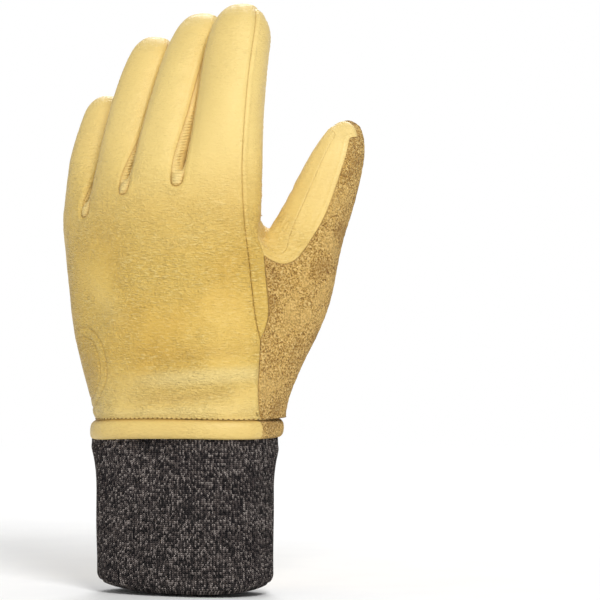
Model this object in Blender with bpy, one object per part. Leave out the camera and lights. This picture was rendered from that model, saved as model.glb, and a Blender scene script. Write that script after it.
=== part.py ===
"""Left-hand leather ski glove with a knitted cuff, held in the shape of a hand.

The wrist opening is centred on the origin and the fingers point up (+Z).
The back of the hand faces -Y, the palm faces +Y and the thumb side is +X.
The shell is one branching surface of rings, cut into its sewn panels:
each panel is then given the thickness of the leather, pad and lining.
"""
import math

import bmesh
import bpy
from mathutils import Vector

# Driving dimensions, in metres
CUFF_LENGTH = 0.0680
CUFF_WALL = 0.0028
CUFF_TUCK = 0.0060
CUFF_EDGE_RISE = 0.0050
HEM_HEIGHT = 0.0085
HEM_WALL = 0.0034
HEM_PROUD = 0.0010
WRIST_WIDTH = 0.0890
WRIST_DEPTH = 0.0580
PALM_LENGTH = 0.1140
KNUCKLE_WIDTH = 0.1092
KNUCKLE_DEPTH = 0.0350
KNUCKLE_LEAN = -0.0174
KNUCKLE_ARCH = 0.0170
SHELL_WALL = 0.0024
SEAM_GAP = 0.0003
FINGER_LENGTH = 0.0710
FINGER_WIDTH = 0.0280
FINGER_CURL = 0.0340
GUSSET_WIDTH = 0.0062
GUSSET_DROP = 0.0045
THUMB_LENGTH = 0.0930
THUMB_WIDTH = 0.0342
THUMB_SPREAD = 0.0245
THUMB_CURL = 0.0270
FOLD_DEPTH = 0.0020
THENAR_BULGE = 0.0300
TAB_WIDTH = 0.0280
TAB_LENGTH = 0.0560
TAB_THICKNESS = 0.0018
LOOP_WIDTH = 0.0055
LOOP_REACH = 0.0070
LOOP_THICKNESS = 0.0012
CLIP_WIRE = 0.0022
CLIP_HEIGHT = 0.0135
CLIP_REACH = 0.0105

# Clearance between pieces that touch
CLEARANCE = 0.0003

# Columns and rows of the shell's faces
FINGER_COLUMNS = 4
SIDE_COLUMNS = 4
PALM_ROWS = 11
THUMB_FIRST_ROW = 2
THUMB_LAST_ROW = 8
STRIP_FIRST_ROW = 3

# Palm sections from the hem to the finger crotches, as shares:
# rise of the palm length, widening, flattening and leaning from wrist to knuckles
PALM_SECTIONS = (
    # rise, widen, flatten, lean
    (0.00, 0.00, 0.00, 0.00),
    (0.15, 0.10, 0.12, 0.22),
    (0.33, 0.36, 0.36, 0.56),
    (0.50, 0.62, 0.60, 0.74),
    (0.75, 0.90, 0.86, 0.90),
    (1.00, 1.00, 1.00, 1.00),
)

# Fingers from the little finger to the index: the crotch beside each on its thumb side,
# as a share across the knuckles and of the palm length, and shares of the finger
# length, width and curl, then how early it curls and the lean of its tip as a share
# of the finger width
FINGERS = (
    # name, crotch across, crotch rise, length, width, curl, bend, lean
    ("little", 0.162, 0.850, 0.70, 0.77, 0.74, 0.34, 0.06),
    ("ring", 0.418, 0.962, 0.965, 0.89, 1.00, 0.30, 0.15),
    ("middle", 0.700, 1.000, 0.995, 0.95, 1.05, 0.15, 0.15),
    ("index", 1.000, 1.000, 1.05, 1.10, 0.66, 0.14, -0.05),
)
# Shares of other sizes: where the little finger leaves the side and where the ball of
# the thumb stands out, of the palm length; the corners where the back and palm turn
# into the sides, of half the width; and how much a finger and the thumb narrow to their tips
SHARES = {
    "little_side_rise": 0.810,
    "thenar_rise": 0.32,
    "thenar_reach": 0.36,
    "little_corner": 0.86,
    "index_corner": 0.92,
    "wrist_corner": 0.968,
    "tip_taper": 0.14,
    "thumb_taper": 0.42,
}

# Main folds and dents: the side of the hand, the place of each as shares of half the
# knuckle width and of the palm length, how it is turned from level in degrees, and
# shares of the knuckle width for its length and width and of the fold depth
FOLDS = (
    # side, across, rise, turn, length, width, depth
    ("back", -0.15, 0.15, 4.0, 0.36, 0.050, 0.75),
    ("back", 0.30, 0.20, -8.0, 0.22, 0.040, 0.60),
    ("back", -0.62, 0.34, 64.0, 0.20, 0.055, 0.70),
    ("palm", -0.05, 0.84, 82.0, 0.16, 0.040, 1.00),
    ("palm", -0.50, 0.80, 84.0, 0.16, 0.040, 0.90),
    ("palm", 0.10, 0.56, 38.0, 0.26, 0.055, 1.00),
    ("palm", -0.30, 0.42, 12.0, 0.28, 0.060, 0.80),
    ("palm", -0.20, 0.12, 2.0, 0.36, 0.045, 0.70),
)

# Seams of the thumb: the column of its ring where each starts, and where it ends
THUMB_SEAMS = {
    "palm": (11, 10),
    "inner": (18, 21),
    "back": (19, 24),
}

# Rows along a finger and along the thumb, as shares of its path
FINGER_ROWS = (0.10, 0.22, 0.35, 0.48, 0.61, 0.73, 0.83, 0.91, 0.97)
THUMB_ROWS = (0.10, 0.22, 0.34, 0.46, 0.57, 0.68, 0.79, 0.88, 0.95)

# Corners of the clip, as shares of its reach and height, from the loop round
CLIP_CORNERS = (
    # reach, height
    (0.00, 0.46),
    (0.00, -0.46),
    (0.80, -0.44),
    (1.00, -0.05),
    (0.45, 0.44),
)

# Faces of the smaller pieces
RING_COLUMNS = 48
TAB_ROWS = 10
TAB_COLUMNS = 6
LOOP_TURN = 6
CLIP_SIDES = 8

# Named colours and finishes: base colour, roughness
FINISHES = {
    "golden_leather": ((0.72, 0.47, 0.14), 0.55),
    "pale_leather": ((0.78, 0.55, 0.22), 0.55),
    "tan_suede": ((0.55, 0.32, 0.11), 0.95),
    "charcoal_knit": ((0.045, 0.042, 0.045), 0.95),
    "black_plastic": ((0.02, 0.02, 0.02), 0.40),
}

# Roundness of the oval sections, as a power, and how far the finger seams lie
# round the sides of a finger from its corners, in degrees
ROUNDNESS = {"section_power": 2.4, "finger_seam_turn": 12.0}
SECTION_POWER = ROUNDNESS["section_power"]

HEM_TOP = CUFF_LENGTH + HEM_HEIGHT


def clear_scene():
    for old in list(bpy.data.objects):
        bpy.data.objects.remove(old)


def make_material(finish):
    colour, roughness = FINISHES[finish]
    material = bpy.data.materials.get(finish)
    if material is None:
        material = bpy.data.materials.new(finish)
        material.use_nodes = True
        shader = material.node_tree.nodes["Principled BSDF"]
        shader.inputs["Base Color"].default_value = (*colour, 1.0)
        shader.inputs["Roughness"].default_value = roughness
        shader.inputs["Metallic"].default_value = 0.0
    return material


def make_object(name, bm, finish, parent):
    mesh = bpy.data.meshes.new(name)
    bm.to_mesh(mesh)
    bm.free()
    mesh.shade_smooth()
    mesh.set_sharp_from_angle(angle=math.radians(50))
    mesh.materials.append(make_material(finish))
    piece = bpy.data.objects.new(name, mesh)
    bpy.context.scene.collection.objects.link(piece)
    piece.parent = parent
    return piece


def mix(start, end, share):
    return start + (end - start) * share


def smooth_share(share):
    share = min(max(share, 0.0), 1.0)
    return share * share * (3.0 - 2.0 * share)


def table_value(table, column, rise):
    """Value of one column of a table of sections at a rise, by smooth steps."""
    for lower, upper in zip(table, table[1:]):
        if rise <= upper[0]:
            share = (rise - lower[0]) / (upper[0] - lower[0])
            return mix(lower[column], upper[column], share)
    return table[-1][column]


def oval_point(angle, half_width, half_depth, power=SECTION_POWER):
    """Point of a rounded oval; angle 0 is +X and a quarter turn is +Y."""
    cosine = math.cos(angle)
    sine = math.sin(angle)
    x = half_width * math.copysign(abs(cosine) ** (2.0 / power), cosine)
    y = half_depth * math.copysign(abs(sine) ** (2.0 / power), sine)
    return x, y


def palm_section(rise):
    """Half width, half depth, sideways centre and arch of the palm at a rise."""
    widen = table_value(PALM_SECTIONS, 1, rise)
    flatten = table_value(PALM_SECTIONS, 2, rise)
    lean = table_value(PALM_SECTIONS, 3, rise)
    half_width = mix(WRIST_WIDTH, KNUCKLE_WIDTH, widen) / 2
    half_depth = mix(WRIST_DEPTH, KNUCKLE_DEPTH, flatten) / 2
    return half_width, half_depth, KNUCKLE_LEAN * lean, KNUCKLE_ARCH * flatten


def back_stations():
    """Places of the columns across the back, as shares from little side to thumb side."""
    gusset = GUSSET_WIDTH / (KNUCKLE_WIDTH * (SHARES["little_corner"] + SHARES["index_corner"]) / 2)
    stations = []
    start = 0.0
    for name, crotch, *rest in FINGERS:
        end = crotch - gusset / 2 if crotch < 1.0 else 1.0
        for column in range(FINGER_COLUMNS + 1):
            stations.append(mix(start, end, column / FINGER_COLUMNS))
        start = crotch + gusset / 2
    return stations


def top_rise(station):
    """Rise of the crotch line at a share across the knuckles."""
    line = [(0.0, SHARES["little_side_rise"])] + [(crotch, rise) for name, crotch, rise, *rest in FINGERS]
    return table_value(line, 1, station)


BACK = back_stations()
BACK_VERTS = len(BACK)
SIDE_INNER = SIDE_COLUMNS - 1
THUMB_SIDE = BACK_VERTS
PALM_START = THUMB_SIDE + SIDE_INNER
LITTLE_SIDE = PALM_START + BACK_VERTS
RING_VERTS = LITTLE_SIDE + SIDE_INNER

# The thumb leaves the shell from these columns of a palm ring
THUMB_FIRST_COLUMN = THUMB_SIDE
THUMB_LAST_COLUMN = PALM_START + FINGER_COLUMNS - 1


def corner_angle(corner):
    """Angle from the side of an oval to the corner at a share of its half width."""
    return math.acos(corner ** (SECTION_POWER / 2))


def ring_point(column, row):
    """Place of one vertex of the palm, on a ring between the hem and the crotch line."""
    if column < THUMB_SIDE:
        station = BACK[column]
        facing = -1
    elif column < PALM_START:
        station = 1.0
        facing = 0
    elif column < LITTLE_SIDE:
        station = BACK[BACK_VERTS - 1 - (column - PALM_START)]
        facing = 1
    else:
        station = 0.0
        facing = 0
    below_gusset = top_rise(station) - GUSSET_DROP / PALM_LENGTH
    rise = top_rise(station) if row == PALM_ROWS else below_gusset * row / (PALM_ROWS - 1)
    half_width, half_depth, centre, arch = palm_section(rise)
    index_corner = mix(SHARES["wrist_corner"], SHARES["index_corner"], rise)
    if facing:
        x = mix(-SHARES["little_corner"], index_corner, station) * half_width
        y = facing * half_depth * (1 - abs(x / half_width) ** SECTION_POWER) ** (1 / SECTION_POWER)
    elif station == 1.0:
        share = (column - THUMB_SIDE + 1) / SIDE_COLUMNS
        turn = corner_angle(index_corner)
        x, y = oval_point(mix(-turn, turn, share), half_width, half_depth)
    else:
        share = (column - LITTLE_SIDE + 1) / SIDE_COLUMNS
        turn = corner_angle(SHARES["little_corner"])
        x, y = oval_point(math.pi + mix(-turn, turn, share), half_width, half_depth)
    across = x / half_width
    y += arch * abs(across) ** 1.5 * (1.0 if across < 0 else 0.15)
    bulge = thenar_share(column, row / PALM_ROWS) * THENAR_BULGE
    return Vector((centre + x + bulge * 0.85, y + bulge * 0.55, HEM_TOP + rise * PALM_LENGTH))


def thenar_share(column, row_share):
    """How far a palm vertex follows the ball of the thumb, from 0 to 1."""
    middle = (THUMB_FIRST_COLUMN + THUMB_LAST_COLUMN) / 2
    across = (column - middle) / (0.85 * (THUMB_LAST_COLUMN - THUMB_FIRST_COLUMN))
    beyond = row_share - SHARES["thenar_rise"]
    along = beyond / (SHARES["thenar_reach"] if beyond > 0 else SHARES["thenar_reach"] * 0.6)
    return math.exp(-(across ** 2 * 2.0 + along ** 2))


class Shell:
    """The outer surface of the leather, with the name of its panel on every face."""

    def __init__(self):
        self.bm = bmesh.new()
        self.panel = self.bm.faces.layers.int.new("panel")
        self.names = []

    def vert(self, point):
        return self.bm.verts.new(point)

    def face(self, verts, name):
        if name not in self.names:
            self.names.append(name)
        face = self.bm.faces.new(verts)
        face[self.panel] = self.names.index(name)


def palm_panel_name(column, row):
    """Name of the panel that holds the face right of a column and above a row."""
    crotch_columns = [(FINGER_COLUMNS + 1) * count - 1 for count in range(1, len(FINGERS))]
    names = ("fourchette_ring_little", "fourchette_middle_ring", "fourchette_index_middle")
    if column < THUMB_SIDE - 1:
        if column in crotch_columns and row >= PALM_ROWS - 1:
            return names[crotch_columns.index(column)]
        return "back_panel"
    if column < PALM_START:
        if column == THUMB_SIDE - 1 and row >= STRIP_FIRST_ROW:
            return "index_side_strip"
        if row >= THUMB_LAST_ROW:
            return "index_side_strip"
        return "thumb_suede_patch"
    if column < LITTLE_SIDE - 1:
        mirrored = BACK_VERTS - 2 - (column - PALM_START)
        if mirrored in crotch_columns and row >= PALM_ROWS - 1:
            return names[crotch_columns.index(mirrored)]
        if column < THUMB_LAST_COLUMN and row < THUMB_FIRST_ROW:
            return "thumb_suede_patch"
        if column == THUMB_LAST_COLUMN and row < THUMB_LAST_ROW:
            return "thumb_inner_strip"
        return "palm_panel"
    if column < LITTLE_SIDE + SIDE_COLUMNS // 2 - 1:
        return "palm_panel"
    return "back_panel"


def build_palm(shell):
    """Rings from the hem to the crotch line, without the thumb's opening."""
    rows = []
    for row in range(PALM_ROWS + 1):
        rows.append([shell.vert(ring_point(column, row)) for column in range(RING_VERTS)])
    for row in range(PALM_ROWS):
        for column in range(RING_VERTS):
            over = THUMB_FIRST_COLUMN <= column < THUMB_LAST_COLUMN
            if over and THUMB_FIRST_ROW <= row < THUMB_LAST_ROW:
                continue
            after = (column + 1) % RING_VERTS
            corners = (rows[row][column], rows[row][after], rows[row + 1][after], rows[row + 1][column])
            if column == THUMB_SIDE - 1 and row == STRIP_FIRST_ROW:
                shell.face((corners[0], corners[1], corners[2]), "thumb_suede_patch")
                shell.face((corners[0], corners[2], corners[3]), "index_side_strip")
            else:
                shell.face(corners, palm_panel_name(column, row))
    return rows


def crotch_chain(shell, back_vert, palm_vert, dip):
    """Vertices of a valley between two fingers, from the back to the palm."""
    chain = []
    for step in range(1, SIDE_COLUMNS):
        share = step / SIDE_COLUMNS
        point = back_vert.co.lerp(palm_vert.co, share)
        point.z -= dip * math.sin(math.pi * share)
        chain.append(shell.vert(point))
    return chain


def bezier(start, control, end, share):
    return start * (1 - share) ** 2 + control * 2 * share * (1 - share) + end * share ** 2


def bezier_slope(start, control, end, share):
    return ((control - start) * (1 - share) + (end - control) * share).normalized()


def dome_share(share, start):
    """Radius share of a tube that ends in a dome beginning at start."""
    if share <= start:
        return 1.0
    return math.sqrt(max(1.0 - ((share - start) / (1.0 - start)) ** 2, 0.0))


def ring_angle(index, count, first_angle, widening):
    """Angle of a ring's vertex, with its first and third quarters widened at both ends."""
    quarter = count // 4
    wide = index // quarter % 2 == 0
    start = first_angle + math.pi / 2 * (index // quarter) + (-widening if wide else widening)
    turn = math.pi / 2 + (2 * widening if wide else -2 * widening)
    return start + turn * (index % quarter) / quarter


def build_tube(shell, base, path, shape, row_shares, column_names, cap_name):
    """Rows of a finger or thumb from its base ring to its closed tip.

    base is the ring of vertices that it grows from, path holds the start, control and
    end of its middle line, and shape its sideways direction, width, depth, first angle
    and widening of its quarters, dome start, the share over which it turns round, and taper.
    """
    side, width, depth, first_angle, widening, dome, blend, taper = shape
    start, control, end = path
    count = len(base)
    ring = base
    middle = sum((vert.co for vert in base), Vector()) / count
    offsets = [vert.co - middle for vert in base]

    def frame(share):
        slope = bezier_slope(start, control, end, share)
        across = (side - slope * side.dot(slope)).normalized()
        return bezier(start, control, end, share), across, slope.cross(across)

    def place(share, angle, reach):
        centre, across, palmward = frame(share)
        reach *= 1.0 - taper * share ** 2
        x, y = oval_point(angle, width / 2 * reach, depth / 2 * reach)
        return centre + across * x + palmward * y

    for row, row_share in enumerate(row_shares):
        turned = smooth_share(row_share / blend)
        points = []
        for index in range(count):
            angle = ring_angle(index, count, first_angle, widening)
            round_point = place(row_share, angle, dome_share(row_share, dome))
            grown = bezier(start, control, end, row_share) + offsets[index]
            points.append(shell.vert(grown.lerp(round_point, turned)))
        for index in range(count):
            after = (index + 1) % count
            corners = (ring[index], ring[after], points[after], points[index])
            below, above, falling = column_names(index, row)
            if below == above:
                shell.face(corners, below)
            elif falling:
                shell.face((corners[0], corners[1], corners[3]), below)
                shell.face((corners[1], corners[2], corners[3]), above)
            else:
                shell.face((corners[0], corners[1], corners[2]), below)
                shell.face((corners[0], corners[2], corners[3]), above)
        ring = points
    build_cap(shell, ring, frame(1.0)[0], cap_name)


def build_cap(shell, ring, tip, cap_name):
    """Close a ring with a square grid of faces raised to the tip."""
    size = len(ring) // 4
    grid = {}
    for step in range(size):
        grid[(step, 0)] = ring[step]
        grid[(size, step)] = ring[size + step]
        grid[(size - step, size)] = ring[2 * size + step]
        grid[(0, size - step)] = ring[3 * size + step]
    middle = sum((vert.co for vert in ring), Vector()) / len(ring)
    rim = sum(((vert.co - middle).length for vert in ring)) / len(ring)
    for column in range(1, size):
        for row in range(1, size):
            u = column / size
            v = row / size
            along_u = grid[(0, row)].co.lerp(grid[(size, row)].co, u)
            along_v = grid[(column, 0)].co.lerp(grid[(column, size)].co, v)
            flat = (along_u + along_v) / 2
            out = min((flat - middle).length / rim, 1.0)
            grid[(column, row)] = shell.vert(flat + (tip - middle) * math.sqrt(1.0 - out ** 2))
    for column in range(size):
        for row in range(size):
            corners = (grid[(column, row)], grid[(column + 1, row)],
                       grid[(column + 1, row + 1)], grid[(column, row + 1)])
            shell.face(corners, cap_name(column, row, size))


def finger_cap_name(column, row, size):
    return "back_panel" if row < size / 2 else "palm_panel"


def thumb_cap_name(column, row, size):
    return "thumb_back_strip" if column < size / 2 else "thumb_suede_patch"


def build_fingers(shell, rows):
    """Four fingers on the crotch line, and the valleys between them."""
    top = rows[-1]
    span = FINGER_COLUMNS + 1
    fourchettes = ("fourchette_ring_little", "fourchette_middle_ring", "fourchette_index_middle")
    valleys = []
    for number, name in enumerate(fourchettes, start=1):
        left_back = top[number * span - 1]
        right_back = top[number * span]
        right_palm = top[PALM_START + BACK_VERTS - 1 - number * span]
        left_palm = top[PALM_START + BACK_VERTS - number * span]
        left = crotch_chain(shell, left_back, left_palm, GUSSET_WIDTH / 2)
        right = crotch_chain(shell, right_back, right_palm, GUSSET_WIDTH / 2)
        left_line = [left_back] + left + [left_palm]
        right_line = [right_back] + right + [right_palm]
        for step in range(SIDE_COLUMNS):
            shell.face((left_line[step], right_line[step], right_line[step + 1], left_line[step + 1]), name)
        valleys.append((left, right))
    for number, (name, crotch, rise, length, width, curl, bend, lean) in enumerate(FINGERS):
        back = top[number * span:(number + 1) * span]
        palm_end = PALM_START + BACK_VERTS - number * span
        palm = top[palm_end - span:palm_end]
        if number == len(FINGERS) - 1:
            thumb_side = top[THUMB_SIDE:PALM_START]
            thumb_names = ["index_side_strip"] * SIDE_COLUMNS
        else:
            thumb_side = valleys[number][0]
            thumb_names = [fourchettes[number]] * SIDE_COLUMNS
        if number == 0:
            little_side = top[LITTLE_SIDE:]
            half = SIDE_COLUMNS // 2
            little_names = ["palm_panel"] * half + ["back_panel"] * half
        else:
            little_side = list(reversed(valleys[number - 1][1]))
            little_names = [fourchettes[number - 1]] * SIDE_COLUMNS
        base = back + thumb_side + palm + little_side
        names = (["back_panel"] * FINGER_COLUMNS + thumb_names
                 + ["palm_panel"] * FINGER_COLUMNS + little_names)
        start = sum((vert.co for vert in base), Vector()) / len(base)
        finger_width = FINGER_WIDTH * width
        rise_to_tip = Vector((finger_width * lean, FINGER_CURL * curl, FINGER_LENGTH * length))
        end = start + rise_to_tip
        control = start + Vector((rise_to_tip.x * 0.5, rise_to_tip.y * bend, rise_to_tip.z * 0.62))
        dome = 1.0 - finger_width * 0.50 / rise_to_tip.length
        shape = (Vector((1, 0, 0)), finger_width, finger_width * 0.96,
                 math.radians(225), math.radians(ROUNDNESS["finger_seam_turn"]), dome, 0.36,
                 SHARES["tip_taper"])

        def column_names(index, row, names=names):
            return names[index], names[index], False

        build_tube(shell, base, (start, control, end), shape, FINGER_ROWS, column_names, finger_cap_name)


def build_thumb(shell, rows):
    """The thumb, from its opening in the side of the palm."""
    first, last = THUMB_FIRST_COLUMN, THUMB_LAST_COLUMN
    low, high = THUMB_FIRST_ROW, THUMB_LAST_ROW
    bottom = [rows[low][column] for column in range(first, last)]
    palm_edge = [rows[row][last] for row in range(low, high)]
    top_edge = [rows[high][column] for column in range(last, first, -1)]
    back_edge = [rows[row][first] for row in range(high, low, -1)]
    base = bottom + palm_edge + top_edge + back_edge
    start = sum((vert.co for vert in base), Vector()) / len(base)
    rise = math.sqrt(THUMB_LENGTH ** 2 - THUMB_SPREAD ** 2 - THUMB_CURL ** 2)
    end = start + Vector((THUMB_SPREAD, THUMB_CURL, rise))
    control = start + Vector((THUMB_SPREAD * 0.32, THUMB_CURL * 0.45, rise * 0.28))
    outward = Vector((1, 0, -0.35)).normalized()
    dome = 1.0 - THUMB_WIDTH * 0.5 / THUMB_LENGTH
    shape = (outward, THUMB_WIDTH, THUMB_WIDTH * 0.92, math.radians(-52), 0.0, dome, 0.55,
             SHARES["thumb_taper"])
    build_tube(shell, base, (start, control, end), shape, THUMB_ROWS, thumb_names, thumb_cap_name)


def seam_column(seam, row):
    """Column of a slanting thumb seam at the foot of a row; it moves one column a row."""
    start, end = THUMB_SEAMS[seam]
    return max(start - row, end) if end < start else min(start + row, end)


def thumb_names(index, row):
    """Panels below and above the diagonal of a thumb face, and whether it falls or rises."""

    def panel(column, level):
        if seam_column("palm", level) <= column < seam_column("inner", level):
            return "thumb_inner_strip"
        if seam_column("inner", level) <= column < seam_column("back", level):
            return "thumb_back_strip"
        return "thumb_suede_patch"

    return panel(index, row), panel(index, row + 1), index < THUMB_SEAMS["palm"][0]


def soften(shell, rows):
    """Ease the whole surface a little and the root of the thumb more, with the hem left alone."""
    free = [vert for vert in shell.bm.verts if not vert.is_boundary]
    root = {rows[row][column] for row in (THUMB_FIRST_ROW, THUMB_LAST_ROW)
            for column in range(THUMB_FIRST_COLUMN, THUMB_LAST_COLUMN + 1)}
    root |= {rows[row][column] for column in (THUMB_FIRST_COLUMN, THUMB_LAST_COLUMN)
             for row in range(THUMB_FIRST_ROW, THUMB_LAST_ROW + 1)}
    for _ in range(2):
        root |= {edge.other_vert(vert) for vert in root for edge in vert.link_edges}
    ordered = [vert for vert in free if vert in root]
    for verts, rounds in ((ordered, 22), (free, 2)):
        for _ in range(rounds):
            bmesh.ops.smooth_vert(shell.bm, verts=verts, factor=0.35,
                                  use_axis_x=True, use_axis_y=True, use_axis_z=True)


def press_folds(shell):
    """Press the main folds and dents of the palm and back into the surface."""
    shell.bm.normal_update()
    moves = {}
    for vert in shell.bm.verts:
        if vert.is_boundary:
            continue
        for side, across, rise, turn, length, width, depth in FOLDS:
            if (vert.normal.y > 0.3) != (side == "palm") or abs(vert.normal.y) < 0.3:
                continue
            x = vert.co.x - KNUCKLE_LEAN * rise - across * KNUCKLE_WIDTH / 2
            z = vert.co.z - HEM_TOP - rise * PALM_LENGTH
            cosine = math.cos(math.radians(turn))
            sine = math.sin(math.radians(turn))
            along = (x * cosine + z * sine) / (KNUCKLE_WIDTH * length)
            aside = (z * cosine - x * sine) / (KNUCKLE_WIDTH * width)
            share = math.exp(-(along ** 4 + aside ** 2)) * abs(vert.normal.y)
            moves[vert] = moves.get(vert, 0.0) + FOLD_DEPTH * depth * share
    for vert, move in moves.items():
        vert.co -= vert.normal * move


def wall_direction(vert):
    """Outward direction of the wall at a vertex, eased by its neighbours and level at the hem."""
    if vert.is_boundary:
        return Vector((vert.normal.x, vert.normal.y, 0)).normalized()
    around = [edge.other_vert(vert).normal for edge in vert.link_edges]
    return (vert.normal + sum(around, Vector()) / len(around)).normalized()


def panel_piece(shell, name):
    """One panel as a closed wall, drawn back from its seams by half the seam gap."""
    number = shell.names.index(name)
    chosen = [face for face in shell.bm.faces if face[shell.panel] == number]
    inward = {}
    for face in chosen:
        for loop in face.loops:
            edge = loop.edge
            if sum(other[shell.panel] == number for other in edge.link_faces) == 1:
                along = (loop.link_loop_next.vert.co - loop.vert.co).normalized()
                across = face.normal.cross(along)
                for vert in edge.verts:
                    inward.setdefault(vert, []).append(across)
    bm = bmesh.new()
    outer = {}
    inner = {}
    for vert in {vert for face in chosen for vert in face.verts}:
        shift = Vector()
        if vert in inward:
            total = sum(inward[vert], Vector())
            if total.length > 1e-6:
                direction = total.normalized()
                nearest = max(min(direction.dot(across) for across in inward[vert]), 0.5)
                shift = direction * (SEAM_GAP / 2 / nearest)
        normal = wall_direction(vert)
        outer[vert] = bm.verts.new(vert.co + shift)
        inner[vert] = bm.verts.new(vert.co + shift - normal * SHELL_WALL)
    for face in chosen:
        bm.faces.new([outer[vert] for vert in face.verts])
        bm.faces.new([inner[vert] for vert in reversed(face.verts)])
        for loop in face.loops:
            edge = loop.edge
            if sum(other[shell.panel] == number for other in edge.link_faces) == 1:
                a = loop.vert
                b = loop.link_loop_next.vert
                if a.index < b.index:
                    bm.faces.new((outer[b], outer[a], inner[b]))
                    bm.faces.new((outer[a], inner[a], inner[b]))
                else:
                    bm.faces.new((outer[b], outer[a], inner[a]))
                    bm.faces.new((outer[b], inner[a], inner[b]))
    return bm


def build_shell(parent):
    shell = Shell()
    rows = build_palm(shell)
    build_fingers(shell, rows)
    build_thumb(shell, rows)
    soften(shell, rows)
    shell.bm.verts.index_update()
    bmesh.ops.recalc_face_normals(shell.bm, faces=shell.bm.faces)
    press_folds(shell)
    shell.bm.normal_update()
    finishes = {"thumb_suede_patch": "tan_suede", "thumb_back_strip": "pale_leather"}
    for name in list(shell.names):
        make_object(name, panel_piece(shell, name), finishes.get(name, "golden_leather"), parent)
    anchor = rows[1][LITTLE_SIDE - 1]
    outward = Vector((anchor.normal.x, anchor.normal.y, 0))
    overhang = abs(anchor.normal.z) / outward.length * LOOP_WIDTH / 2
    outward.normalize()
    place = anchor.co + outward * overhang
    shell.bm.free()
    return place, outward


def ring_wall(profile):
    """A closed oval band; profile is a loop of (offset from the wrist, height, edge rise)."""
    bm = bmesh.new()
    rings = []
    for offset, height, rise in profile:
        ring = []
        for column in range(RING_COLUMNS):
            angle = 2 * math.pi * column / RING_COLUMNS
            x, y = oval_point(angle, WRIST_WIDTH / 2 + offset, WRIST_DEPTH / 2 + offset)
            lift = rise * abs(2 * x / WRIST_WIDTH) ** 3
            ring.append(bm.verts.new((x, y, height + lift)))
        rings.append(ring)
    for lower, upper in zip(rings, rings[1:] + rings[:1]):
        for column in range(RING_COLUMNS):
            after = (column + 1) % RING_COLUMNS
            bm.faces.new((lower[column], lower[after], upper[after], upper[column]))
    bmesh.ops.recalc_face_normals(bm, faces=bm.faces)
    return bm


def build_hem(parent):
    """The rolled leather band that closes the shell over the top of the cuff."""
    low = CUFF_LENGTH
    high = HEM_TOP - CLEARANCE
    inside = HEM_PROUD - HEM_WALL
    profile = (
        (inside, low, 0),
        (HEM_PROUD * 0.3, low, 0),
        (HEM_PROUD, mix(low, high, 0.28), 0),
        (HEM_PROUD, mix(low, high, 0.72), 0),
        (HEM_PROUD * 0.1, high, 0),
        (inside, high, 0),
    )
    return make_object("hem_band", ring_wall(profile), "golden_leather", parent)


def build_cuff(parent):
    """The knitted tube, folded over at its lower edge and tucked into the hem."""
    outside = HEM_PROUD - HEM_WALL - CLEARANCE
    waist = outside - CUFF_WALL * 0.2
    inside = waist - CUFF_WALL
    top = CUFF_LENGTH + CUFF_TUCK
    fold = CUFF_WALL / 2
    profile = (
        (outside, top, 0),
        (outside, CUFF_LENGTH, 0),
        (waist, CUFF_LENGTH * 0.88, 0),
        (waist, CUFF_LENGTH * 0.55, 0),
        (waist, CUFF_LENGTH * 0.25, CUFF_EDGE_RISE * 0.6),
        (waist, fold, CUFF_EDGE_RISE),
        (waist - fold, 0, CUFF_EDGE_RISE),
        (inside, fold, CUFF_EDGE_RISE),
        (inside, CUFF_LENGTH * 0.45, 0),
        (inside, top, 0),
    )
    return make_object("knit_cuff", ring_wall(profile), "charcoal_knit", parent)


def build_tab(parent):
    """The pull tab: a round-ended leather strap that lies on the palm side of the cuff."""
    bm = bmesh.new()
    top = CUFF_LENGTH - CLEARANCE
    corner = TAB_WIDTH * 0.35
    inner = HEM_PROUD - HEM_WALL
    sheets = []
    for lift in (inner, inner + TAB_THICKNESS):
        sheet = []
        for row in range(TAB_ROWS + 1):
            down = TAB_LENGTH * row / TAB_ROWS
            beyond = max(down - (TAB_LENGTH - corner), 0.0)
            half = TAB_WIDTH / 2 - corner + math.sqrt(max(corner ** 2 - beyond ** 2, 0.0))
            line = []
            for column in range(TAB_COLUMNS + 1):
                x = half * (2 * column / TAB_COLUMNS - 1)
                across = abs(x) / (WRIST_WIDTH / 2 + lift)
                bulge = (1 - across ** SECTION_POWER) ** (1 / SECTION_POWER)
                y = (WRIST_DEPTH / 2 + lift) * bulge
                line.append(bm.verts.new((x, y, top - down)))
            sheet.append(line)
        sheets.append(sheet)
    under, over = sheets
    rim = []
    for row in range(TAB_ROWS):
        for column in range(TAB_COLUMNS):
            for sheet in sheets:
                bm.faces.new((sheet[row][column], sheet[row][column + 1],
                              sheet[row + 1][column + 1], sheet[row + 1][column]))
    rim += [(0, column) for column in range(TAB_COLUMNS)]
    rim += [(row, TAB_COLUMNS) for row in range(TAB_ROWS)]
    rim += [(TAB_ROWS, column) for column in range(TAB_COLUMNS, 0, -1)]
    rim += [(row, 0) for row in range(TAB_ROWS, 0, -1)]
    for (row, column), (next_row, next_column) in zip(rim, rim[1:] + rim[:1]):
        bm.faces.new((under[row][column], under[next_row][next_column],
                      over[next_row][next_column], over[row][column]))
    bmesh.ops.recalc_face_normals(bm, faces=bm.faces)
    return make_object("pull_tab", bm, "golden_leather", parent)


def place_outward(bm, place, outward):
    """Turn a shape built along +X to the outward direction and move it to its place."""
    turn = Vector((1, 0, 0)).rotation_difference(outward).to_matrix().to_4x4()
    bmesh.ops.transform(bm, matrix=turn, verts=bm.verts)
    bmesh.ops.translate(bm, vec=place, verts=bm.verts)


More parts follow.
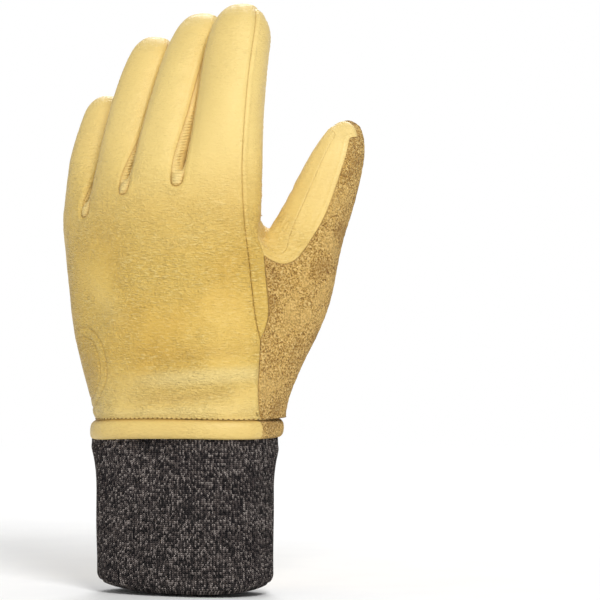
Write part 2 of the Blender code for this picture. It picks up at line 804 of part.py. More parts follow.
def build_loop(parent, place, outward):
    """A folded leather strap sewn into the side seam, which holds the clip."""
    bm = bmesh.new()
    eye = CLIP_WIRE / 2 + CLEARANCE
    start = CLEARANCE * 2
    lines = []
    for radius in (eye, eye + LOOP_THICKNESS):
        line = [(start, -radius), (LOOP_REACH * 0.5, -radius)]
        for step in range(LOOP_TURN + 1):
            angle = -math.pi / 2 + math.pi * step / LOOP_TURN
            line.append((LOOP_REACH + radius * math.cos(angle), radius * math.sin(angle)))
        line += [(LOOP_REACH * 0.5, radius), (start, radius)]
        lines.append(line)
    outline = lines[0] + list(reversed(lines[1]))
    half = LOOP_WIDTH / 2
    low = [bm.verts.new((x, y, -half)) for x, y in outline]
    high = [bm.verts.new((x, y, half)) for x, y in outline]
    count = len(outline)
    for index in range(count):
        after = (index + 1) % count
        bm.faces.new((low[index], low[after], high[after], high[index]))
    for index in range(count // 2 - 1):
        for level in (low, high):
            opposite = count - 1 - index
            bm.faces.new((level[index], level[index + 1], level[opposite - 1], level[opposite]))
    bmesh.ops.recalc_face_normals(bm, faces=bm.faces)
    place_outward(bm, place, outward)
    return make_object("clip_loop", bm, "golden_leather", parent)


def build_clip(parent, place, outward):
    """The small plastic clip: a closed ring of round wire with three rounded corners."""
    bm = bmesh.new()
    corners = [(LOOP_REACH + CLIP_REACH * reach, CLIP_HEIGHT * height) for reach, height in CLIP_CORNERS]
    points = []
    for index, corner in enumerate(corners):
        before = corners[index - 1]
        after = corners[(index + 1) % len(corners)]
        for share in (0.25, 0.5, 0.75):
            start = [mix(corner[axis], before[axis], 0.3) for axis in (0, 1)]
            end = [mix(corner[axis], after[axis], 0.3) for axis in (0, 1)]
            points.append(bezier(Vector((start[0], 0, start[1])), Vector((corner[0], 0, corner[1])),
                                 Vector((end[0], 0, end[1])), share))
    rings = []
    for index, point in enumerate(points):
        along = (points[(index + 1) % len(points)] - points[index - 1]).normalized()
        across = along.cross(Vector((0, 1, 0)))
        ring = []
        for side in range(CLIP_SIDES):
            angle = 2 * math.pi * (side + 0.5) / CLIP_SIDES
            offset = across * math.cos(angle) + Vector((0, 1, 0)) * math.sin(angle)
            ring.append(bm.verts.new(point + offset * (CLIP_WIRE / 2)))
        rings.append(ring)
    for lower, upper in zip(rings, rings[1:] + rings[:1]):
        for side in range(CLIP_SIDES):
            after = (side + 1) % CLIP_SIDES
            bm.faces.new((lower[side], lower[after], upper[after], upper[side]))
    bmesh.ops.recalc_face_normals(bm, faces=bm.faces)
    place_outward(bm, place, outward)
    return make_object("clip", bm, "black_plastic", parent)


def main():
    clear_scene()
    glove = bpy.data.objects.new("glove", None)
    bpy.context.scene.collection.objects.link(glove)
    place, outward = build_shell(glove)
    build_hem(glove)
    build_cuff(glove)
    build_tab(glove)
    build_loop(glove, place, outward)
    build_clip(glove, place, outward)


main()
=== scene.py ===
"""Looks of a left-hand leather ski glove: sewn panels, rolled hem, knitted cuff, pull tab and clip."""
import math

import bmesh
import bpy
import numpy as np
from mathutils import Matrix, Vector, kdtree, noise
from mathutils.bvhtree import BVHTree


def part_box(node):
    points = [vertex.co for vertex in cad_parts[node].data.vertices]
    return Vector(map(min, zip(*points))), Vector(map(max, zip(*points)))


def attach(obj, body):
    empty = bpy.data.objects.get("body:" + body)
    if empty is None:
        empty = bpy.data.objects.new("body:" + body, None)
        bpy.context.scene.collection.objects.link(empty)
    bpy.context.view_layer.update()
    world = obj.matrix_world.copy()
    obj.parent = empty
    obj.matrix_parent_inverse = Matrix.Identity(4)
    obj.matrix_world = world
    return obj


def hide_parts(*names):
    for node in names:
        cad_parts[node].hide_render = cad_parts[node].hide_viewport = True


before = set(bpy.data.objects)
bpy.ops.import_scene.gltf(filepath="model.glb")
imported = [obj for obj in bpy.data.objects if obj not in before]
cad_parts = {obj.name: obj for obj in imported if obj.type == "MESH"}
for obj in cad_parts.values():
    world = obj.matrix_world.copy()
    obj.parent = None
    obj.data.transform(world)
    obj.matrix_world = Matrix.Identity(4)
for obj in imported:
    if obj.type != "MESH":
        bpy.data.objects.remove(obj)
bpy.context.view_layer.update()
hem_low, hem_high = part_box("hem_band")

# Panels, their seams and the strips between the fingers, in metres; an end is where a form
# starts to fade and where it is gone, above the foot of its strip
LEATHER_WALL = 0.0024
SHOWN_WALL = 0.0015
WALL_TOLERANCE = 0.000004
MERGE_GAP = 0.00001
SIDE_GAP = 0.000001
RAY_CLEAR = 0.0001
SIGHT = 0.3
SEAM_ROLL = 0.0014
SEAM_DEPTH = 0.00045
SEAM_REACH = 0.0008
SEAM_LINE = 0.00038
LIP_HEIGHT = 0.00026
LIP_PLACE = 0.0019
LIP_WIDTH = 0.0009
SMOOTH_BORDER = 0.003
PUCKER_PITCH = 0.0023
PUCKER_REACH = 0.0040
PUCKER_HEIGHT = 0.00015
TUCK_PITCH = 0.0013
TUCK_PLACE = 0.0021
TUCK_WIDTH = 0.0016
TUCKS_END = (0.024, 0.040)
STRIP_FULLNESS = 0.0013
STRIP_FULL_BORDER = 0.004
STRIP_FULL_END = (0.008, 0.050)

# Hem, in metres
HEM_PUFF = 0.0007
HEM_TUCK = 0.0005
HEM_TILT = 0.00145
HEM_ARCH = 0.00185
HEM_EASE = 0.045
HEM_NEAR = 0.001
HEM_LINE = 0.0006
HEM_STITCH_PITCH = 0.0024
HEM_STITCH_RISE = 0.0007
HEM_STITCH_LENGTH = 0.0012

# Pull tab and stitches, in metres: the groove's width and depth, and where the crown starts,
# where it is full and its height
TAB_STITCH_PITCH = 0.0015
TAB_STITCH_LENGTH = 0.0008
TAB_STITCH_INSET = 0.0018
TAB_RIM = 0.0011
TAB_SEAM_LINE = 0.0005
TAB_GROOVE = (0.0006, 0.00040)
TAB_CROWN = (0.002, 0.009, 0.0005)
TAB_STEP = 0.001
THREAD_RADIUS = 0.00024
RAY_START = 0.12
RAY_LIMIT = 0.11

# Knit cuff, in metres, waves in a metre and counts
CUFF_WALL = 0.0028
CUFF_TOP_GAP = 0.0006
CUFF_FOLD = 0.45 * CUFF_WALL
CUFF_EDGE_RISE = 0.0028
CUFF_ROUNDING = 0.0046
CUFF_READ = 0.0065
CUFF_FLARE = 0.0022
CUFF_FLARE_REACH = 0.011
CUFF_WAVES = (3, 3, 42)
CUFF_WAVE_HEIGHT = 0.0005
CUFF_ROWS = 120
CUFF_INNER_ROWS = 18
RIB_COUNT = 168
RIB_SIDES = 3
RIB_DEPTH = 0.00035
STITCH_HEIGHT = 0.00098
KNIT_PROUD = 0.0007
KNIT_PROUD_REACH = 0.004

# Ring pressed into the back of the hand, in metres: outer and inner radius
RING_RADII = (0.0184, 0.0143)
RING_GROOVE = 0.00055
RING_EASE = 0.0018
RING_DEPTH = 0.00038
RING_LIFT = 0.014
RING_MIDDLE_EDGE = (-0.0008, 0.0002)
RING_PIXEL = (84.5, 368.0)

# Shares, angles in radians and counts
WALL_FACING = 0.3
TAB_FACING = 0.3
SMALL_GROUP = 4
BORDER_SHARES = (0.0, 0.25, 0.5, 0.75)
RING_FACING = 0.15
RING_SHADE = 0.60
RING_TINT = 0.35
HEM_SEAM = 0.15
HEM_OUTER = (-0.2, 0.3)
HEM_CROWN_LEVEL = 0.94
HEM_FINE_TURN = 1.2
HEM_STEPS = 1440
CUFF_FLATNESS = 0.72
CUFF_FOLD_TURNS = (0.6, 1.2, 1.9, 2.5)
CUFF_ROUNDED = 0.6
TAB_CORNER = 0.7
THREAD_PROUD = 0.3

# Camera: the photograph's angle, scale and frame
VIEW_TURN = math.radians(28.0)
VIEW_RISE = math.radians(4.0)
CAMERA_DISTANCE = 10.0
METRES_PER_PIXEL = 0.000454
FRAME_PIXELS = 600
ORIGIN_PIXEL = (185.0, 590.0)
SENSOR_MM = 36.0
CAMERA_REACH = 40.0

# Studio: sizes in metres, and lamps with their place, size in metres and power in watts
FLOOR_RADIUS = 0.9
FLOOR_DROP = 0.0012
PAPER_REACH = 0.30
SKY_STRENGTH = 0.42
SKY_HORIZON = (-0.03, 0.01)
LIT_POINT = (0, 0, 0.15)
LAMPS = (
    # name, place, size, power
    ("key_light", (1.15, -1.25, 1.45), 0.7, 30),
    ("fill_light", (0.2, -1.8, 0.3), 1.0, 4),
    ("back_light", (-0.5, 1.2, 1.1), 0.9, 14),
)

# Panels: levels of subdivision, whether a narrow row of faces follows the border first,
# finish, and how strong the wrinkles are
PANELS = {
    # node: levels, bordered, finish, wrinkles
    "back_panel": (3, True, "back_leather", 1.0),
    "palm_panel": (3, True, "palm_leather", 1.4),
    "fourchette_ring_little": (3, False, "strip_leather_painted_lit", 1.2),
    "fourchette_middle_ring": (3, False, "strip_leather_painted_lit", 1.2),
    "fourchette_index_middle": (3, False, "strip_leather_painted_lit", 1.2),
    "index_side_strip": (4, False, "back_leather", 1.3),
    "thumb_back_strip": (4, False, "thumb_leather", 0.5),
    "thumb_inner_strip": (3, False, "thumb_leather", 1.2),
    "thumb_suede_patch": (4, False, "tan_suede", 1.0),
}

# Seams that hardly show, because the leather is stretched flat across them: their strength
SOFT_SEAMS = {
    frozenset(("thumb_back_strip", "thumb_inner_strip")): 0.25,
    frozenset(("index_side_strip", "thumb_inner_strip")): 0.12,
    frozenset(("index_side_strip", "thumb_back_strip")): 0.20,
}

# Places where the leather is gathered into short wrinkles, one above another: the panel,
# and the height, reach, depth and pitch of the wrinkles in metres
GATHERS = (
    # panel, height, reach, depth, pitch
    ("fourchette_index_middle", 0.1960, 0.0150, 0.00030, 0.0021),
    ("fourchette_middle_ring", 0.1900, 0.0130, 0.00028, 0.0020),
    ("fourchette_ring_little", 0.1780, 0.0110, 0.00024, 0.0020),
    ("index_side_strip", 0.1830, 0.0110, 0.00042, 0.0023),
    ("index_side_strip", 0.1560, 0.0160, 0.00026, 0.0026),
    ("thumb_inner_strip", 0.1740, 0.0170, 0.00030, 0.0022),
    ("thumb_back_strip", 0.1560, 0.0080, 0.00016, 0.0026),
    ("palm_panel", 0.1760, 0.0110, 0.00020, 0.0027),
    ("back_panel", 0.1680, 0.0120, 0.00009, 0.0026),
    ("palm_panel", 0.1150, 0.0260, 0.00012, 0.0030),
)

# Soft folds: the panel, place across and up, half length and half width in metres, the
# angle of their length in degrees, and height, which is less than nothing for a crease
FOLDS = (
    # panel, across, up, half length, half width, angle, height
    ("back_panel", 0.022, 0.0990, 0.0330, 0.0048, 4.0, 0.00200),
    ("back_panel", 0.020, 0.1090, 0.0300, 0.0050, 6.0, -0.00090),
    ("back_panel", 0.014, 0.0900, 0.0320, 0.0034, 7.0, -0.00110),
    ("back_panel", 0.000, 0.0825, 0.0420, 0.0036, 3.0, 0.00130),
    ("back_panel", -0.030, 0.1320, 0.0200, 0.0070, -42.0, 0.00070),
    ("back_panel", 0.004, 0.1600, 0.0260, 0.0060, 17.0, 0.00045),
    ("palm_panel", 0.004, 0.1690, 0.0160, 0.0022, 95.0, 0.00110),
    ("palm_panel", 0.009, 0.1610, 0.0180, 0.0024, 78.0, -0.00080),
    ("palm_panel", -0.023, 0.1610, 0.0200, 0.0024, 100.0, 0.00120),
    ("palm_panel", -0.017, 0.1540, 0.0220, 0.0026, 106.0, -0.00090),
    ("palm_panel", -0.046, 0.1520, 0.0150, 0.0022, 82.0, 0.00090),
    ("palm_panel", -0.038, 0.1420, 0.0170, 0.0024, 70.0, -0.00060),
    ("palm_panel", 0.018, 0.2040, 0.0120, 0.0015, 3.0, -0.00120),
    ("palm_panel", 0.018, 0.2090, 0.0120, 0.0022, -2.0, 0.00060),
    ("palm_panel", 0.018, 0.2230, 0.0110, 0.0013, -3.0, -0.00060),
    ("palm_panel", -0.010, 0.2140, 0.0105, 0.0016, 4.0, -0.00120),
    ("palm_panel", -0.010, 0.2190, 0.0105, 0.0022, 2.0, 0.00060),
    ("palm_panel", -0.010, 0.1980, 0.0100, 0.0014, -3.0, -0.00070),
    ("palm_panel", -0.034, 0.2060, 0.0100, 0.0016, -4.0, -0.00100),
    ("palm_panel", -0.058, 0.1830, 0.0085, 0.0014, 2.0, -0.00090),
)

# Layers of smooth unevenness: waves in a metre, seed, stretch and size, in metres for a rise
# of the surface and in radians for the wander of a pattern
EVEN = (1, 1, 1)
PANEL_SWELL = ((38, 1.7, EVEN, 0.00045), (95, 4.4, EVEN, 0.00020))
PANEL_WRINKLES = ((230, 6.3, (0.45, 0.45, 1.7), 0.00011),)
SUEDE_NAP = ((900, 2.2, EVEN, 0.00012), (420, 5.2, EVEN, 0.00010))
HEM_SWELL = ((130, 2.0, (1, 1, 0.35), 0.00025), (55, 5.0, EVEN, 0.00035))
TAB_SWELL = ((120, 3.0, EVEN, 0.00018),)
GATHER_WANDER = ((170, 2.9, (1, 1, 0.5), 1.7), (60, 9.4, EVEN, 2.2))
PUCKER_WANDER = ((60, 3.1, EVEN, 5),)

# Small shifts of the shape towards the photograph's outline: place, reach and shift in metres
SHIFTS = {
    "thumb_crotch": ((0.0387, 0.0125, 0.1655), 0.0110, (-0.0044, -0.0023, -0.0056)),
    "thumb_tip": ((0.0645, 0.0370, 0.2150), 0.0100, (-0.0021, -0.0017, -0.0054)),
    "thumb_base": ((0.0570, 0.0200, 0.1220), 0.0260, (0.0027, 0.0014, 0.0)),
    "wrist_side": ((-0.0400, -0.0170, 0.0770), 0.0140, (0.0018, 0.0009, 0.0)),
}


class Finish:
    """A material, with short calls to add its nodes and join them."""

    def __init__(self, name, roughness):
        self.material = bpy.data.materials.new(name)
        self.material.use_nodes = True
        self.tree = self.material.node_tree
        self.shader = self.tree.nodes["Principled BSDF"]
        self.shader.inputs["Roughness"].default_value = roughness
        self.place = self.add("ShaderNodeTexCoord").outputs["Object"]

    def add(self, kind, **settings):
        node = self.tree.nodes.new(kind)
        for name, value in settings.items():
            setattr(node, name, value)
        return node

    def feed(self, socket, value):
        """Give a socket a number, a colour or another node's output."""
        if isinstance(value, bpy.types.NodeSocket):
            self.tree.links.new(value, socket)
        elif isinstance(value, tuple) and len(socket.default_value) == 4:
            socket.default_value = (*value, 1)
        else:
            socket.default_value = value

    def stretched(self, scale, turn=(0, 0, 0)):
        """The place on the piece, scaled by axis, for a pattern that is finer one way."""
        node = self.add("ShaderNodeMapping")
        self.feed(node.inputs["Vector"], self.place)
        node.inputs["Rotation"].default_value = turn
        node.inputs["Scale"].default_value = scale
        return node.outputs["Vector"]

    def noise(self, place, scale, detail=3.0, roughness=0.55, distortion=0.0):
        node = self.add("ShaderNodeTexNoise")
        self.feed(node.inputs["Vector"], place)
        self.feed(node.inputs["Scale"], scale)
        self.feed(node.inputs["Detail"], detail)
        self.feed(node.inputs["Roughness"], roughness)
        self.feed(node.inputs["Distortion"], distortion)
        return node.outputs["Fac"]

    def cells(self, place, scale):
        node = self.add("ShaderNodeTexVoronoi", feature="SMOOTH_F1")
        self.feed(node.inputs["Vector"], place)
        self.feed(node.inputs["Scale"], scale)
        return node.outputs["Distance"]

    def math(self, operation, first, second=0.0):
        node = self.add("ShaderNodeMath", operation=operation)
        self.feed(node.inputs[0], first)
        self.feed(node.inputs[1], second)
        return node.outputs[0]

    def ranged(self, value, low, high, to_low=0.0, to_high=1.0):
        """A smooth step between two numbers as a value goes from low to high."""
        node = self.add("ShaderNodeMapRange", interpolation_type="SMOOTHSTEP")
        for socket, number in zip(node.inputs, (value, low, high, to_low, to_high)):
            self.feed(socket, number)
        return node.outputs[0]

    def mixed(self, share, first, second, mode="MIX"):
        node = self.add("ShaderNodeMix", data_type="RGBA", blend_type=mode)
        self.feed(node.inputs["Factor"], share)
        for socket, value in zip(node.inputs[6:8], (first, second)):
            self.feed(socket, value)
        return node.outputs[2]

    def ramp(self, value, stops):
        node = self.add("ShaderNodeValToRGB")
        self.feed(node.inputs["Fac"], value)
        elements = node.color_ramp.elements
        while len(elements) < len(stops):
            elements.new(0.5)
        for element, (place, colour) in zip(elements, stops):
            element.position = place
            element.color = (*colour, 1)
        return node.outputs["Color"]

    def attribute(self, name):
        return self.add("ShaderNodeAttribute", attribute_name=name).outputs["Fac"]

    def colour(self, value):
        self.feed(self.shader.inputs["Base Color"], value)

    def rough(self, value):
        self.feed(self.shader.inputs["Roughness"], value)

    def bumped(self, height, distance):
        node = self.add("ShaderNodeBump")
        self.feed(node.inputs["Height"], height)
        node.inputs["Distance"].default_value = distance
        self.feed(self.shader.inputs["Normal"], node.outputs["Normal"])


def leather(name, tones, crease_turn, grain):
    """Smooth golden leather: pebble grain, fine creases across the hand, painted shade along the seams.

    It reads the piece's own attributes: seam, the nearness of a seam, where shade is painted; relief, the
    height of the soft folds in millimetres, painted lighter on the folds and darker in the creases;
    tucks, where the border is gathered; and rim, a pale edge.
    """
    bright, pale, warm, deep = tones
    finish = Finish(name, 0.5)
    creased = finish.stretched((380, 380, 1850), (0, crease_turn, 0))
    creases = finish.noise(creased, 1.0, 2.0, 0.55, 0.6)
    pebbles = finish.cells(finish.place, 1000.0)
    pores = finish.noise(finish.place, 2600.0, 2.0)
    parts = finish.add("ShaderNodeSeparateXYZ")
    finish.feed(parts.inputs[0], finish.place)
    up = parts.outputs[2]
    # The fingers above: stretched leather, where the grain fades, and partly a painted highlight from the
    # light above
    stretched = finish.ranged(up, 0.145, 0.215)
    worked = finish.ranged(finish.noise(finish.place, 34.0, 2.0), 0.36, 0.62, 0.45, 1.0)
    left = finish.math("SUBTRACT", 1.0, finish.math("MULTIPLY", stretched, 0.65))
    worked = finish.math("MULTIPLY", worked, left)
    height = finish.math("MULTIPLY", creases, 1.5)
    height = finish.math("ADD", height, finish.math("MULTIPLY", pebbles, 0.7))
    height = finish.math("MULTIPLY", height, worked)
    height = finish.math("ADD", height, finish.math("MULTIPLY", pores, 0.22))
    tucks = finish.math("SINE", finish.math("MULTIPLY", up, 2 * math.pi / TUCK_PITCH))
    tucks = finish.math("MULTIPLY", tucks, finish.attribute("tucks"))
    height = finish.math("ADD", height, finish.math("MULTIPLY", tucks, 0.5))
    finish.bumped(height, 0.00085 * grain)
    broad = finish.noise(finish.place, 24.0, 2.0, 0.5)
    tone = finish.ramp(broad, ((0.34, warm), (0.60, pale)))
    # Upper fingers paler: partly stretched leather, partly painted highlight
    tone = finish.mixed(finish.math("MULTIPLY", stretched, 0.75), tone, bright)
    # Painted highlight: the lower back brighter towards the hem, where the leather puffs out above it
    tone = finish.mixed(finish.ranged(up, 0.108, 0.084, 0.0, 0.45), tone, bright)
    # Painted shade in the hollows of the fine creases and painted highlight on their crests
    crease_hollow_shade = finish.ranged(creases, 0.50, 0.31, 0.0, 0.24)
    crease_crest_highlight = finish.ranged(creases, 0.52, 0.67, 0.0, 0.60)
    tone = finish.mixed(finish.math("MULTIPLY", crease_hollow_shade, worked), tone, deep)
    tone = finish.mixed(finish.math("MULTIPLY", crease_crest_highlight, worked), tone, bright)
    # Painted highlight on the raised soft folds and painted shade in their creases
    relief = finish.attribute("relief")
    tone = finish.mixed(finish.ranged(relief, 0.0, 1.9, 0.0, 0.72), tone, bright)
    tone = finish.mixed(finish.ranged(relief, 0.0, -1.8, 0.0, 0.42), tone, deep)
    # Painted shade along the seams and in the pressed ring's grooves, with the ring's darker middle: the
    # seam attribute pulls the tone to the deep tone
    tone = finish.mixed(finish.math("MULTIPLY", finish.attribute("seam"), 0.52), tone, deep)
    tone = finish.mixed(finish.attribute("rim"), tone, bright)
    finish.colour(tone)
    finish.rough(finish.ranged(finish.noise(finish.place, 300.0), 0.3, 0.7, 0.42, 0.56))
    finish.shader.inputs["Specular IOR Level"].default_value = 0.6
    finish.shader.inputs["Sheen Weight"].default_value = 0.05
    finish.shader.inputs["Sheen Roughness"].default_value = 0.35
    return finish.material


def suede():
    """Tan suede: a mottled nap of light and dark-brown flecks."""
    finish = Finish("tan_suede", 0.95)
    flecks = finish.noise(finish.place, 1250.0, 2.0, 0.6, 0.4)
    mottles = finish.noise(finish.place, 75.0, 3.0, 0.6, 0.4)
    tone = finish.ramp(flecks, (
        (0.34, (0.23, 0.105, 0.018)),
        (0.44, (0.49, 0.275, 0.062)),
        (0.53, (0.72, 0.445, 0.120)),
        (0.68, (0.98, 0.73, 0.30)),
    ))
    tone = finish.mixed(finish.ranged(mottles, 0.50, 0.36, 0.0, 0.42), tone, (0.34, 0.170, 0.034))
    tone = finish.mixed(finish.ranged(mottles, 0.50, 0.62, 0.0, 0.45), tone, (0.82, 0.54, 0.17))
    # Painted shade along the seams of the suede
    tone = finish.mixed(finish.math("MULTIPLY", finish.attribute("seam"), 0.5), tone, (0.60, 0.36, 0.11))
    finish.colour(tone)
    fuzz = finish.noise(finish.place, 1600.0, 3.0, 0.7)
    finish.bumped(finish.math("ADD", flecks, finish.math("MULTIPLY", fuzz, 0.6)), 0.0016)
    finish.shader.inputs["Sheen Weight"].default_value = 0.10
    finish.shader.inputs["Sheen Roughness"].default_value = 0.6
    finish.shader.inputs["Specular IOR Level"].default_value = 0.12
    return finish.material


def knit():
    """Heathered charcoal knit: ribs of V stitches, each with its own shade of yarn."""
    finish = Finish("charcoal_knit", 0.95)
    along = finish.add("ShaderNodeUVMap", uv_map="knit").outputs["UV"]
    parts = finish.add("ShaderNodeSeparateXYZ")
    finish.feed(parts.inputs[0], along)
    rib, level = parts.outputs[0], parts.outputs[1]
    from_middle = finish.math("ABSOLUTE", finish.math("SUBTRACT", finish.math("FRACT", rib), 0.5))
    slanted = finish.math("ADD", level, finish.math("MULTIPLY", from_middle, 0.9))
    across = finish.math("SINE", finish.math("MULTIPLY", slanted, 2 * math.pi))
    valley = finish.ranged(from_middle, 0.28, 0.5, 1.0, 0.0)
    split = finish.ranged(from_middle, 0.0, 0.10, 0.55, 1.0)
    fullness = finish.math("MULTIPLY", valley, split)
    strand = finish.math("MULTIPLY", finish.math("ADD", across, 1.3), fullness)
    cell = finish.add("ShaderNodeCombineXYZ")
    finish.feed(cell.inputs[0], finish.math("FLOOR", finish.math("MULTIPLY", rib, 2.0)))
    finish.feed(cell.inputs[1], finish.math("FLOOR", slanted))
    picked = finish.add("ShaderNodeTexWhiteNoise", noise_dimensions="2D")
    finish.feed(picked.inputs["Vector"], cell.outputs[0])
    cloud = finish.noise(finish.stretched((45, 45, 170)), 1.0, 2.0)
    drift = finish.math("MULTIPLY", finish.math("SUBTRACT", cloud, 0.5), 0.45)
    shade = finish.math("ADD", picked.outputs["Value"], drift)
    tone = finish.ramp(shade, (
        (0.00, (0.010, 0.009, 0.010)),
        (0.30, (0.050, 0.042, 0.041)),
        (0.55, (0.120, 0.101, 0.096)),
        (0.78, (0.22, 0.195, 0.18)),
        (0.97, (0.55, 0.51, 0.475)),
    ))
    warm = finish.ranged(picked.outputs["Value"], 0.55, 0.56, 0.0, 0.35)
    tone = finish.mixed(warm, tone, (1.10, 0.92, 0.90), "MULTIPLY")
    # Painted shade: near black between the strands and in the rib valleys
    tone = finish.mixed(finish.ranged(strand, 1.1, 0.2, 0.0, 0.85), tone, (0.005, 0.004, 0.005))
    finish.colour(tone)
    fibre = finish.noise(finish.stretched((2600, 2600, 700)), 1.0, 3.0, 0.7)
    finish.bumped(finish.math("ADD", strand, finish.math("MULTIPLY", fibre, 0.9)), 0.0005)
    finish.shader.inputs["Sheen Weight"].default_value = 0.03
    finish.shader.inputs["Sheen Roughness"].default_value = 0.5
    finish.shader.inputs["Specular IOR Level"].default_value = 0.08
    return finish.material


def plastic():
    """Moulded black plastic with a faint grain and duller high spots."""
    finish = Finish("black_plastic", 0.38)
    grain = finish.noise(finish.place, 1900.0, 3.0)
    finish.bumped(grain, 0.00008)
    worn = finish.ranged(finish.noise(finish.place, 320.0), 0.4, 0.7)
    finish.colour(finish.mixed(worn, (0.010, 0.010, 0.011), (0.022, 0.022, 0.023)))
    finish.rough(finish.ranged(grain, 0.3, 0.7, 0.32, 0.48))
    return finish.material


def thread(name, tone, shade):
    """Twisted sewing thread, of one tone with a darker shade between its strands."""
    finish = Finish(name, 0.7)
    twist = finish.noise(finish.stretched((3000, 3000, 3000)), 1.0, 2.0)
    finish.colour(finish.mixed(finish.ranged(twist, 0.35, 0.65), shade, tone))
    finish.bumped(twist, 0.0001)
    return finish.material


def studio_paper(name):
    """Pale paper that runs out into the plain white of the surroundings."""
    finish = Finish(name, 0.9)
    soft = finish.ranged(finish.noise(finish.place, 30.0), 0.3, 0.7)
    finish.colour(finish.mixed(soft, (0.88, 0.88, 0.88), (0.90, 0.90, 0.895)))
    away = finish.add("ShaderNodeVectorMath", operation="LENGTH")
    finish.feed(away.inputs[0], finish.place)
    glow = finish.add("ShaderNodeEmission")
    blend = finish.add("ShaderNodeMixShader")
    finish.feed(blend.inputs[0], finish.ranged(away.outputs["Value"], PAPER_REACH, FLOOR_RADIUS))
    finish.tree.links.new(finish.shader.outputs[0], blend.inputs[1])
    finish.tree.links.new(glow.outputs[0], blend.inputs[2])
    finish.tree.links.new(blend.outputs[0], finish.tree.nodes["Material Output"].inputs["Surface"])
    return finish.material


# Tones of the leathers: bright, pale, warm and deep; bright also serves for painted highlights and deep
# for painted shade
GOLD_TONES = ((0.81, 0.625, 0.235), (0.71, 0.475, 0.098), (0.64, 0.395, 0.062), (0.40, 0.210, 0.028))
PALE_TONES = ((0.79, 0.59, 0.205), (0.73, 0.515, 0.145), (0.65, 0.43, 0.100), (0.40, 0.215, 0.035))
# Strips between the fingers: a paler, painted-lit copy of the gold leather, for strips that sit in shade
# between the fingers
PAINTED_LIT_STRIP_TONES = ((0.86, 0.66, 0.270), (0.80, 0.59, 0.200), (0.74, 0.51, 0.150), (0.46, 0.250, 0.040))
THUMB_TONES = ((0.82, 0.63, 0.250), (0.74, 0.525, 0.150), (0.67, 0.445, 0.105), (0.42, 0.225, 0.035))
TAB_TONES = ((0.84, 0.64, 0.290), (0.66, 0.400, 0.095), (0.56, 0.315, 0.058), (0.32, 0.155, 0.024))
LEATHERS = {
    # name: tones, turn of the creases in radians, strength of the grain
    "back_leather": (GOLD_TONES, 0.0, 1.0),
    "palm_leather": (GOLD_TONES, 0.0, 1.1),
    "strip_leather_painted_lit": (PAINTED_LIT_STRIP_TONES, 0.0, 0.5),
    "thumb_leather": (THUMB_TONES, 0.5, 0.6),
    "hem_leather": (PALE_TONES, 0.0, 0.4),
    "tab_leather": (TAB_TONES, 0.0, 0.8),
}
FINISHES = {name: leather(name, *row) for name, row in LEATHERS.items()}
FINISHES |= {
    "tan_suede": suede(),
    "charcoal_knit": knit(),
    "black_plastic": plastic(),
    "dark_thread": thread("dark_thread", (0.30, 0.17, 0.04), (0.16, 0.09, 0.02)),
}


def smooth_step(value, low, high):
    """From 0 to 1 as an array of numbers goes from low to high."""
    share = np.clip((value - low) / (high - low), 0, 1)
    return share * share * (3 - 2 * share)


def smooth_share(value):
    """The same for one number that goes from 0 to 1."""
    share = min(max(value, 0.0), 1.0)
    return share * share * (3 - 2 * share)


def bell(value, width):
    """1 where the value is 0, and less on both sides of it."""
    return np.exp(-(value / width) ** 2)


def noise_field(points, scale, seed, stretch=EVEN):
    """Smooth noise from about -1 to 1 at each point; scale is waves in a metre."""
    grid = points * (np.array(stretch) * scale) + seed
    return np.array([noise.noise(Vector(row)) for row in grid])


def uneven(points, layers):
    """The sum of some layers of noise at each point."""
    return sum(noise_field(points, scale, seed, stretch) * size for scale, seed, stretch, size in layers)


def patches(points, scale, seed, share):
    """From 0 to 1 at each point, so that a pattern comes and goes."""
    return np.clip(noise_field(points, scale, seed) + share, 0, 1)


def node_mesh(node):
    """A merged copy of a CAD node's mesh."""
    bm = bmesh.new()
    bm.from_mesh(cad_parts[node].data)
    bmesh.ops.remove_doubles(bm, verts=bm.verts, dist=MERGE_GAP)
    return bm


def pair_triangles(bm):
    """Join the pairs of triangles that make one even face."""
    bmesh.ops.join_triangles(bm, faces=bm.faces, angle_face_threshold=math.radians(70),
                             angle_shape_threshold=math.radians(75))


def islands(bm):
    """The connected groups of faces."""
    left = set(bm.faces)
    groups = []
    while left:
        group = {left.pop()}
        waiting = list(group)
        while waiting:
            face = waiting.pop()
            near = {other for edge in face.edges for other in edge.link_faces} & left
            left -= near
            group |= near
            waiting.extend(near)
        groups.append(group)
    return groups


def ray_tree(names):
    """The surfaces of some objects, for rays."""
    bm = bmesh.new()
    for name in names:
        bm.from_mesh(bpy.data.objects[name].data)
    tree = BVHTree.FromBMesh(bm)
    bm.free()
    return tree


def crosses_wall(edge):
    """True for an edge that runs through the leather from its outer to its inner side."""
    first, last = edge.verts
    if abs(edge.calc_length() - LEATHER_WALL) > WALL_TOLERANCE:
        return False
    along = (last.co - first.co).normalized()
    return all(abs(along.dot(vert.normal)) > WALL_FACING for vert in edge.verts)


def outer_sheet(node, tree):
    """The outer side of a panel's wall as an open sheet."""
    bm = node_mesh(node)
    bm.normal_update()
    rim = [face for face in bm.faces if any(crosses_wall(edge) for edge in face.edges)]
    bmesh.ops.delete(bm, geom=rim, context="FACES")

    def openness(group):
        """The share of a group's area that looks out into the open."""
        clear = 0.0
        for face in group:
            start = face.calc_center_median() + face.normal * RAY_CLEAR
            if tree.ray_cast(start, face.normal, SIGHT)[0] is None:
                clear += face.calc_area()
        return clear / sum(face.calc_area() for face in group)

    groups = sorted((group for group in islands(bm) if len(group) > SMALL_GROUP), key=openness)
    inner = [face for face in bm.faces if face not in groups[-1]]
    bmesh.ops.delete(bm, geom=inner, context="FACES")
    pair_triangles(bm)
    return bm


